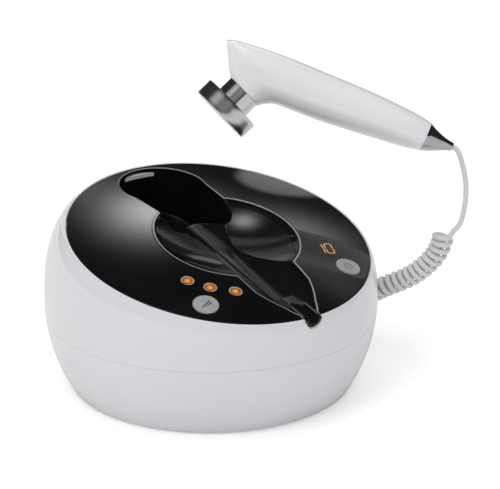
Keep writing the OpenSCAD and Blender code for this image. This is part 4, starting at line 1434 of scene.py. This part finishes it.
def thin_plate(outline: Array, place: Placing, low: float, high: float) -> Grid:
    """A flat plate between two heights.

    Args:
        outline: Corners (n, 2).
        place: Placing of local points.
        low: Lower height.
        high: Upper height.

    Returns:
        The grid.
    """
    rows = np.stack([np.column_stack([outline, np.full(len(outline), z)]) for z in (low, high)])
    return Grid(place(rows), close_cols=True, cap_ends=True)


@dataclass
class Controls:
    """Buttons, lamps and display."""

    flange_w: float = 1.5
    flange_t: float = 1.0
    flange_gap: float = 0.3
    post_r: float = 2.2
    edge_round: float = 0.5
    lens_flange: float = 0.8
    lens_gap: float = 0.1

    def build(self) -> None:
        """Makes both buttons with their marks, the lamps and the display."""
        bars = [box(x, -1.7, 1.1, h) for x, h in ((-3.3, 1.2), (-1.5, 2.0), (0.3, 2.9), (2.1, 3.8))]
        clock = [half_band(2.5, 0.5, 0), half_band(2.5, 0.5, 180), box(-0.22, -0.2, 0.44, 2.0),
                 box(0.22, -0.2, 1.28, 0.4)]
        self._button(Side.LEFT, Body.LEVEL_KEY, "level", bars)
        self._button(Side.RIGHT, Body.TIME_KEY, "time", clock)
        for number, (u, v) in enumerate(CONTROLS.lamps(), start=1):
            self._lamp(number, PANEL.square_on(u, v))
        self._display()

    def _button(self, side: Side, body: Body, label: str, marks: Sequence[Array]) -> None:
        """One button cap with a shallow ring near its edge and its mark.

        Args:
            side: Which side.
            body: The moving body.
            label: Start of the piece names.
            marks: Outlines of its mark.
        """
        r, top, depth = CONTROLS.button_r, CONTROLS.button_proud, CONTROLS.button_depth
        arc = circle(np.radians(np.arange(90, -1, -11.25)))
        edge = [r - self.edge_round, top - self.edge_round] + self.edge_round * arc
        ring = [(0, 0), (3, 0), (5.9, 0), (6.1, 0.03), (6.25, 0.07), (6.4, 0.03), (6.6, 0)]
        flange = PANEL.thickness + self.flange_gap
        wide, under = r + self.flange_w, flange + self.flange_t
        profile = np.vstack([
            [[x, top - sunk] for x, sunk in ring], edge, [[r, -flange], [wide, -flange], [wide, -under],
                                                          [self.post_r, -under], [self.post_r, -depth],
                                                          [0, -depth]]])
        place = PANEL.square_on(side * CONTROLS.button_u, CONTROLS.button_v)
        make_piece(f"{label}_cap", [lathe(profile, 96, place)], body, "button_grey", [f"{label}_button"],
                   sharp=40)
        make_piece(f"{label}_mark", [thin_plate(m, place, top - 0.02, top + 0.015) for m in marks], body,
                   "dark_plastic", finish="glyph_dark")

    def _lamp(self, number: int, place: Placing) -> None:
        """One lamp lens with its numeral.

        Args:
            number: 1 to 3.
            place: Placing of local points.
        """
        r, flange = CONTROLS.lamp_r, CONTROLS.lamp_r + self.lens_flange
        under = -PANEL.thickness - self.lens_gap
        profile = np.array([[x, 0] for x in (0, 0.6, 1.2, 1.8, 2.4, 2.9, 3.3, 3.75)] + [
            [3.93, -0.07], [r, -0.25], [r, under], [flange, under], [flange, under - 1], [0, under - 1]])
        lens = make_piece(f"lamp_{number}", [lathe(profile, 72, place)], Body.BASE, "lamp_amber",
                          [f"lamp_lens_{number}"], sharp=40)
        brightest = place(np.array([-0.5, -0.35, 0.0]))
        away = np.linalg.norm(vertices_mm(lens) - brightest, axis=1)
        set_attribute(lens, "radial", away / (r + 0.55))
        plates = digit(str(number), (-0.65, -1.0), (1.1, 1.1), 0.3, 0.0)
        self._lit(f"lamp_numeral_{number}", [thin_plate(p, place, -0.02, 0.012) for p in plates],
                  "lamp_amber")

    @staticmethod
    def _lit(name: str, grids: Sequence[Grid], finish: str) -> None:
        """A piece that is lit evenly."""
        obj = make_piece(name, grids, Body.BASE, "lamp_amber", finish=finish)
        set_attribute(obj, "radial", np.zeros(len(obj.data.vertices)))

    def _display(self) -> None:
        """The dark window, flush in the dome, and its two digits."""
        place = PANEL.square_on(CONTROLS.button_u, CONTROLS.window_v)
        half = np.array([CONTROLS.window_w, CONTROLS.window_l]) / 2
        xx, yy = np.meshgrid(*(np.linspace(-h, h, 9) for h in half), indexing="xy")
        sag = np.sqrt(PANEL.dome_r**2 - xx**2 - yy**2) - PANEL.dome_r
        top = np.stack([xx, yy, sag], axis=-1)
        ring = np.concatenate([top[0], top[1:, -1], top[-1, -2::-1], top[-2:0:-1, 0]])
        down = ring * [1, 1, 0] + [0, 0, -PANEL.thickness - 0.2]
        at_edge = np.abs(down) > [*(half - 0.1), math.inf]
        out = down + np.sign(down) * at_edge * self.flange_t
        base = out - [0, 0, self.flange_t]
        grids = [Grid(place(top)), Grid(place(np.stack([ring, down, out, base])), close_cols=True),
                 Grid(place(np.stack([base, base * [0, 0, 1]])), close_cols=True)]
        window = make_piece("display_glass", grids, Body.BASE, "panel_black", ["display_window"], sharp=40)
        steady_normals(window)
        turn = math.radians(-12)
        spin = np.array([[math.cos(turn), math.sin(turn)], [-math.sin(turn), math.cos(turn)]])
        plates = [p @ spin for name, left in (("1", -9.0), ("0", -2.6))
                  for p in digit(name, (left, -5.4), (4.6, 4.8), 1.0, 0.1)]
        self._lit("display_digits", [thin_plate(p, place, -0.1, 0.012) for p in plates], "digit_amber")


# ---------------------------------------------------------------- handpiece


@dataclass
class Handpiece:
    """The handle, its metal tail, the neck and the electrode head."""

    tip: tuple[float, float, float] = (151.8, -44.4, 128.9)
    turn: tuple[float, float, float] = (21.0, 19.36, 53.0)
    width: float = 35.0
    up: float = 15.3
    down: float = 14.4
    wall: float = 2.0
    seam: float = 0.04
    root: tuple[float, float] = (132.1, -14.1)
    neck_angle: float = 65.0
    neck_r: float = 11.6
    neck_l: float = 9.9
    neck_wall: float = 3.6
    plug_wall: float = 1.8
    root_margin: float = 0.6
    head_r: float = 19.7
    head_t: float = 11.0
    hole_r: float = 1.749
    power: float = 2.3  # 2 is an ellipse, more is squarer
    body_rows: tuple[tuple[float, ...], ...] = (
        (17.5, 0.588, 18.6, 0.64, 0.77), (24, 0.69, 25, 0.73, 0.89), (33, 0.77, 34, 0.785, 0.96),
        (47.2, 0.856, 46, 0.84, 0.995), (64, 0.917, 60, 0.91, 1), (82.2, 0.954, 73, 0.96, 1),
        (100, 0.985, 82, 0.99, 1), (114.6, 1, 87, 1, 1), (130, 0.974, 90, 1, 1),
        (147.6, 0.88, 92, 1, 0.99), (153.4, 0.77, 94, 1, 0.97))
    head_rows: tuple[tuple[float, ...], ...] = (
        (153.4, 0.77, 94, 1, 0.97), (152, 0.55, 104, 1, 0.92), (150, 0.28, 112, 1.02, 0.855),
        (147, -0.13, 117.5, 1.17, 0.77))
    tail_rows: tuple[tuple[float, ...], ...] = (
        (0, 2.5, 0, -2.5, 2.5), (3.5, 3.1, 3.5, -3.6, 4.6), (7.5, 4.3, 7.5, -5.3, 7.6),
        (12, 6.2, 12, -7.2, 10.6), (15.5, 8, 15.9, -8.5, 12.6), (17.5, 8.996, 18.6, -9.216, 13.475))

    def __post_init__(self) -> None:
        """Works out the turn's matrix."""
        self.matrix = np.array(Euler([math.radians(t) for t in self.turn], "XYZ").to_matrix())

    def in_hand(self, p: Array) -> Array:
        """Points of the handpiece's own frame in the part's frame."""
        return p @ self.matrix.T + np.array(self.tip)

    def on_neck(self, p: Array) -> Array:
        """Points whose Z runs along the head's axis from the neck's root, in the part's frame.

        Args:
            p: Points (..., 3).

        Returns:
            Array (..., 3).
        """
        a = math.radians(-90 - self.neck_angle)
        c, s = math.cos(a), math.sin(a)
        y, z = p[..., 1] * c - p[..., 2] * s, p[..., 1] * s + p[..., 2] * c
        return self.in_hand(np.stack([p[..., 0], y + self.root[0], z + self.root[1]], axis=-1))

    def _table(self, rows: Sequence[Sequence[float]]) -> Array:
        """Shares as millimetres: back y, back z, under y, under z, half-width."""
        return np.array(rows) * [1, self.up, 1, -self.down, self.width / 2]

    def rings(self, table: Array, angles: Array, inset: float = 0.0) -> Array:
        """Superellipse outlines between the back and the underside points.

        Args:
            table: Array (n, 5).
            angles: Angles round in radians, from the +X side.
            inset: How far the outline is set in.

        Returns:
            Array (n, angles, 3) in the handpiece's frame.
        """
        back, under, half_x = table[:, 0:2], table[:, 2:4], table[:, 4:5] - inset
        mid = (back + under) / 2
        half = np.linalg.norm(back - under, axis=1, keepdims=True) / 2
        way = (back - under) / (2 * half)
        c, s = (np.sign(x) * np.abs(x) ** (2 / self.power) for x in (np.cos(angles), np.sin(angles)))
        lean = np.clip(1 / np.maximum(np.abs(way[:, 1:2]), 0.45), 1, 2.0)
        h = (half - inset * lean) * s[None, :]
        return np.stack([half_x * c[None, :], *(mid[:, k : k + 1] + way[:, k : k + 1] * h for k in (0, 1))],
                        axis=-1)

    def build(self) -> None:
        """Makes the handle halves, tail, neck and head."""
        reach = self.neck_r + self.root_margin
        a = math.radians(90 - self.neck_angle)
        way = reach * np.array([math.cos(a), math.sin(a)])
        root = np.concatenate([self.root + way, self.root - way, [reach]])
        head = spline(np.vstack([self._table(self.head_rows), root]), 7)
        table = np.vstack([spline(self._table(self.body_rows), 9), head[1:]])
        a = np.linspace(math.pi / 2, -math.pi / 2, 61)
        for side in Side:
            section = np.concatenate([self.rings(table, a), self.rings(table, a[::-2], self.wall)], axis=1)
            section[..., 0] = np.maximum(section[..., 0], self.seam) * side
            name = f"handle_{side.name.lower()}"
            make_piece(f"{name}_half", [Grid(self.in_hand(section), close_cols=True, cap_ends=True)],
                       Body.HANDPIECE, "handle_white", [f"{name}_shell"], sharp=14)
        self._tail()
        self._neck()

    def _tail(self) -> None:
        """The chrome tail, with the lead's hole in its tip."""
        a = np.linspace(0, 2 * math.pi, 96, endpoint=False)
        outer = self.rings(spline(np.array(self.tail_rows), 8), a)
        end, middle = outer[-1], outer[-1].mean(axis=0)
        closing = np.stack([middle + (end - middle) * s for s in (0.96, 0.6, 0.2, 0.0)])
        way = self.hole_r * circle(a)
        hole = np.stack([np.stack([way[:, 0] * s, 0 * a + y, way[:, 1] * s], -1)
                         for s, y in ((0.0, 14.0), (0.5, 14.0), (1, 14.0), (1, 6.0), (1, 0.25))])
        rim = (hole[-1] + (outer[0] - hole[-1]) * 0.5)[None] * [1, 0.4, 1]
        rows = np.concatenate([hole, rim, outer, closing])
        make_piece("tail_metal", [Grid(self.in_hand(rows), close_cols=True)], Body.HANDPIECE, "head_chrome",
                   ["tail_cap"], sharp=35, finish="tail_chrome")

    def _neck(self) -> None:
        """The chrome neck and the round head with its narrow chamfers."""
        n, r, t = self.neck_r, self.head_r, self.head_t
        bore, plug = n - self.neck_wall, n - self.plug_wall
        neck = [(bore, -6.0), (plug, -6.0), (plug, -0.05), (n - 0.35, -0.05), (n, 0.25), (n, 2.0), (n, 4.3),
                (n, 6.5), (n, self.neck_l), (bore, self.neck_l)]
        disc = [(bore, 0.0), (n, 0.0), (r - 0.9, 0.0), (r - 0.25, 0.25), (r, 0.9), (r, 3.0), (r, 5.0),
                (r, 7.0), (r, t - 0.7), (r - 0.2, t - 0.2), (r - 0.7, t), (r - 4, t), (0, t), (0, t - 2),
                (r - 2, t - 2), (r - 2, 2), (bore, 2)]
        a = math.radians(self.neck_angle)
        axis = self.matrix @ np.array([0, math.cos(a), -math.sin(a)])
        for name, node, slot, segments, profile, lift in (
                ("neck_metal", "neck_ring", "head_chrome", 128, neck, 0.0),
                ("head_disc", "electrode_disc", "head_brushed", 192, disc, self.neck_l)):
            grid = lathe(np.array(profile) + [0, lift], segments, self.on_neck)
            grid.close_rows = True
            piece = make_piece(name, [grid], Body.HANDPIECE, slot, [node])
            p = vertices_mm(piece) - self.on_neck(np.zeros(3))
            along = p @ axis
            radial = np.linalg.norm(p - along[:, None] * axis, axis=1)
            set_attribute(piece, "along", (along + radial) * MM)


# ---------------------------------------------------------------- the lead


@dataclass
class Lead:
    """The curly lead from the base's gland to the handpiece's tail."""

    diameter: float = 3.3
    coil_d: float = 14.0
    turns: float = 19.5
    per_turn: int = 22
    gland_angle: float = 10.0
    gland_h: float = 26.0
    relief_l: float = 14.0
    straight_l: float = 3.0
    coil_step: float = 0.05
    overlap: int = 3  # steps of the helix that the upper stretch begins with
    open_share: float = 0.16  # share of the last turn that the upper stretch replaces
    steps: int = 8  # points from one given point to the next
    lower: tuple[tuple[float, float, float], ...] = (
        (114, 18.5, 20.8), (116.6, 15.6, 21), (118.15, 11.5, 21.65), (118, 7, 23))
    coil: tuple[tuple[float, float, float], ...] = (
        (118, 7, 23), (117.8, 1, 24.8), (117.4, -6, 28.2), (117.8, -13, 32.4), (120, -19.5, 36.6),
        (123.8, -25.6, 40.4), (128, -31.8, 44.5), (132.2, -37.8, 49.8), (135.8, -43, 56),
        (138.6, -47, 62.6), (140.2, -49.6, 69.4), (140.8, -50.8, 76.6))
    upper: tuple[tuple[float, float, float], ...] = (
        (144.8, -54.2, 75.7), (144.95, -54.5, 77.5), (145.7, -55.3, 79.1), (147.1, -56.4, 80.8),
        (148.4, -57.2, 83.2), (149.5, -57.6, 86.2), (151.7, -57.1, 92.4), (153.7, -55.9, 99.5),
        (154.9, -54.3, 106.6), (155, -52.8, 112.7), (154.9, -50.7, 118.3), (154.5, -48.8, 123.2),
        (154.1, -47.4, 126), (153.6, -46.4, 127.4), (152.8, -45.4, 128.4), (151.8, -44.4, 128.9))

    def wall_point(self, d: float) -> Array:
        """The point d outside the lower wall at the gland, square to the wall.

        Args:
            d: Distance in millimetres.

        Returns:
            The point.
        """
        casing = Casing()
        z = self.gland_h
        r = float(casing.radius(z))
        dip = math.atan(casing.base_r**2 / casing.belly**2 * (casing.equator - z) / r)
        a = math.radians(self.gland_angle)
        out = r + d * math.cos(dip)
        return np.array([out * math.cos(a), out * math.sin(a), z - d * math.sin(dip)])

    def path(self) -> Array:
        """The lead's middle line: straight parts joined to a helix about the coil's own line.

        The helix is c(s) + r(s) (cos p e1 + sin p e2), with r grown from 0 over the first turn.

        Returns:
            Array (n, 3) in millimetres.
        """
        axis = even(spline(np.array(self.coil), 12), self.coil_step)
        n = int(self.turns * self.per_turn) + 1
        pick = np.linspace(0, len(axis) - 1, n)
        centre = np.stack([np.interp(pick, np.arange(len(axis)), axis[:, k]) for k in range(3)], axis=1)
        _, e1, e2 = carried_frames(centre)
        turn = np.linspace(0, self.turns, n)
        grow = np.clip(turn, 0, 1)
        radius = ((self.coil_d - self.diameter) / 2 - 0.02) * grow * grow * (3 - 2 * grow)
        rim = np.array(self.upper[0]) - centre[-1]
        phase = math.atan2(rim @ e2[-1], rim @ e1[-1]) - 2 * math.pi * (self.turns - turn)
        helix = centre + radius[:, None] * (np.cos(phase)[:, None] * e1 + np.sin(phase)[:, None] * e2)
        gland = [self.wall_point(self.relief_l + more) for more in (0.0, self.straight_l)]
        first = spline(np.vstack([*gland, self.lower[:-1], helix[2]]), self.steps)
        cut = n - 1 - int(self.per_turn * self.open_share)
        last = spline(np.vstack([helix[cut - self.overlap : cut + 1], self.upper[1:]]), self.steps)
        return np.vstack([first[:-1], helix[2:cut], last[self.overlap * self.steps :]])

    def tube(self, line: Array) -> Grid:
        """Round tube along a line, closed at both ends.

        Args:
            line: Array (n, 3).

        Returns:
            The grid.
        """
        _, e1, e2 = carried_frames(line)
        a = np.linspace(0, 2 * math.pi, 18, endpoint=False)[None, :, None]
        way = np.cos(a) * e1[:, None, :] + np.sin(a) * e2[:, None, :]
        return Grid(line[:, None, :] + self.diameter / 2 * way, close_cols=True, cap_ends=True)

    def build(self) -> None:
        line = self.path()
        obj = mesh_object("lead", [self.tube(line)])
        clean(obj.data, 40, True)
        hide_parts("lead_lower")
        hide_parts("lead_coil")
        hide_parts("lead_upper")
        dress(obj, "lead_grey")
        tuple(np.array(self.coil[0]) * MM)
        tuple(np.array(self.coil[-1]) * MM)
        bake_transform(obj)


# ---------------------------------------------------------------- carried-over CAD nodes


class InnerParts:
    """CAD nodes whose own shape is right, by the finish that they get."""

    NODES: dict[str, str] = {
        "pad_rubber": "base_pad",
        "dark_plastic": "level_plunger time_plunger display_module rf_transformer driver_transistors "
                        "filter_capacitors dc_inlet",
        "switch_metal": "level_switch time_switch",
        "cream_plastic": "lamp_leds board_headers electrode_carrier",
        "board_green": "left_board right_board main_board handpiece_board",
        "screw_steel": "panel_board_screws tray_screws casing_screws main_board_screws inlet_nut gland_nut",
        "sink_aluminium": "heat_sink",
        "wire_grey": "inlet_leads left_cable right_cable electrode_lead",
        "lead_grey": "lead_gland lead_tail handpiece_lead",
    }

    def build(self) -> None:
        """Dresses the carried-over nodes."""
        for finish, nodes in self.NODES.items():
            for node in nodes.split():
                dress(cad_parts[node], finish)
                log.info("node %s: %s", node, finish)


# ---------------------------------------------------------------- studio


@dataclass
class Studio:
    """Camera, floor, world and lamps.

    A window of the mirrored surroundings is azimuth, height, width and tallness in degrees, sharpness and
    brightness. A lamp is place, aim, size and watts.
    """

    eye: tuple[float, float, float] = (-0.6588, -0.9130, 0.4804)
    aim: tuple[float, float, float] = (70.64, 0.0, -37.0)
    lens: float = 144.0
    fill: Colour = (0.6, 0.6, 0.61)
    floor_half: float = 4000.0
    floor_lift: float = 0.32
    ceiling: float = 0.03
    horizon: tuple[float, float] = (1.0, 5.0)
    windows: tuple[tuple[float, ...], ...] = (
        (51.5, 39, 3.0, 4.8, 1, 4.5), (43.3, 19, 2.4, 4.6, 6, 0.75), (36, 37, 3.6, 4.5, 1, 1.6),
        (24, 42, 3, 3, 1, 0.3), (40, 77.5, 4.4, 4.4, 1, 5.4), (63, 29, 3.5, 5, 1, 0.8),
        (-176, 47, 13, 13, 2, 0.6), (-132, 26, 16, 12, 2, 0.26))
    lamps: tuple[tuple, ...] = (
        ("key", (-1.3, -0.2, 1.5), (0, 0, 0.08), (0.9, 0.9), 7.8),
        ("top", (0.1, 0.3, 1.7), (0, 0, 0.05), (1.6, 1.2), 5),
        ("front", (-0.6, -1.6, 0.7), (0, 0, 0.08), (1.2, 0.8), 2),
        ("right", (1.5, 0.6, 0.6), (0.1, 0, 0.1), (0.7, 0.5), 2))

    def camera(self) -> None:
        """Makes the camera."""
        data = bpy.data.cameras.new("camera")
        data.lens = self.lens
        data.sensor_width = 36.0
        data.clip_end = 20
        obj = bpy.data.objects.new("camera", data)
        obj.location = self.eye
        obj.rotation_euler = Euler([math.radians(a) for a in self.aim], "XYZ")
        bpy.context.scene.collection.objects.link(obj)
        bpy.context.scene.camera = obj

    def world(self) -> None:
        """White for the camera, a soft grey fill, and for mirrors a dark ceiling with soft windows."""
        world = bpy.data.worlds.new("studio")
        bpy.context.scene.world = world
        world.use_nodes = True
        world.node_tree.nodes.clear()
        nodes = Nodes(world.node_tree)
        ray = nodes.add("LightPath").node.outputs
        white, fill = (nodes.add("Background", {"Color": (*colour, 1)}) for colour in ((1, 1, 1), self.fill))
        mirror = nodes.add("Background", {"Color": (1, 1, 1, 1), "Strength": self._mirror_light(nodes)})
        glossy = nodes.add("MixShader", {"Fac": ray["Is Glossy Ray"], 1: fill, 2: mirror})
        straight = nodes.math("MAXIMUM", ray["Is Camera Ray"], ray["Is Transmission Ray"])
        seen = nodes.add("MixShader", {"Fac": straight, 1: glossy, 2: white})
        nodes.feed(world.node_tree.nodes.new("ShaderNodeOutputWorld"), {"Surface": seen})

    def _mirror_light(self, nodes: Nodes) -> Socket:
        """Brightness that mirrors see: a white horizon, a dark ceiling and the windows.

        A window adds A exp(-((x/a)^2 / 2 + (y/b)^2 / 2)^p). x and y are the direction's parts along two
        axes square to the window's middle, and p is its sharpness.

        Args:
            nodes: The world's tree.

        Returns:
            The brightness.
        """
        where = nodes.add("TexCoord", output="Generated")

        def along(*axis: float) -> Socket:
            """The direction's part along an axis."""
            return nodes.add("VectorMath", {0: where, 1: axis}, "Value", operation="DOT_PRODUCT")

        low, high = (math.sin(math.radians(a)) for a in self.horizon)
        total = nodes.spread(along(0, 0, 1), low, high, (1.0, self.ceiling))
        total.node.interpolation_type = "SMOOTHSTEP"
        for azimuth, height, wide, tall, sharp, power in self.windows:
            (ca, sa), (ce, se) = circle(np.radians([azimuth, height])).tolist()
            x = nodes.math("DIVIDE", along(-sa, ca, 0.0), math.radians(wide))
            y = nodes.math("DIVIDE", along(-se * ca, -se * sa, ce), math.radians(tall))
            square = nodes.math("ADD", nodes.math("MULTIPLY", x, x), nodes.math("MULTIPLY", y, y))
            drop = nodes.math("POWER", nodes.math("MULTIPLY", square, 0.5), sharp)
            bell = nodes.math("EXPONENT", nodes.math("MULTIPLY", drop, -1.0))
            front = nodes.math("GREATER_THAN", along(ce * ca, ce * sa, se), 0.0)
            total = nodes.math("MULTIPLY_ADD", nodes.math("MULTIPLY", bell, front), power, total)
        return total

    def floor(self) -> None:
        """A pale floor that keeps the shadow."""
        ends = (-self.floor_half, self.floor_half)
        obj = mesh_object("floor", [Grid(np.array([[[x, y, 0.0] for x in ends] for y in ends]))])
        made, nodes, shader = new_material("floor_pale")
        camera_ray = nodes.add("LightPath", output="Is Camera Ray")
        nodes.feed(shader, {"Base Color": (0.93, 0.93, 0.93, 1), "Roughness": 0.9, "Specular IOR Level": 0.0,
                            "Emission Color": (1, 1, 1, 1),
                            "Emission Strength": nodes.math("MULTIPLY", camera_ray, self.floor_lift)})
        obj.data.materials.append(made)

    def light(self) -> None:
        """Makes the lamps, which mirrors and the camera don't see."""
        for name, place, aim, size, power in self.lamps:
            data = bpy.data.lights.new(name, "AREA")
            data.shape = "RECTANGLE"
            data.size, data.size_y = size
            data.energy = power
            obj = bpy.data.objects.new(name, data)
            obj.location = place
            obj.rotation_euler = (Vector(aim) - Vector(place)).to_track_quat("-Z", "Y").to_euler()
            obj.visible_camera = False
            obj.visible_glossy = False
            bpy.context.scene.collection.objects.link(obj)

    def build(self) -> None:
        """Makes the whole studio but the camera."""
        bpy.context.scene.view_settings.view_transform = "Standard"
        self.world()
        self.floor()
        self.light()


def main() -> None:
    """Builds the scene in order."""
    studio = Studio()
    studio.camera()
    for assembly in (Lead(), Casing(), TopPanel(), CradleTray(), Controls(), Handpiece(), InnerParts()):
        assembly.build()
    studio.build()


if __name__ == "__main__":
    main()
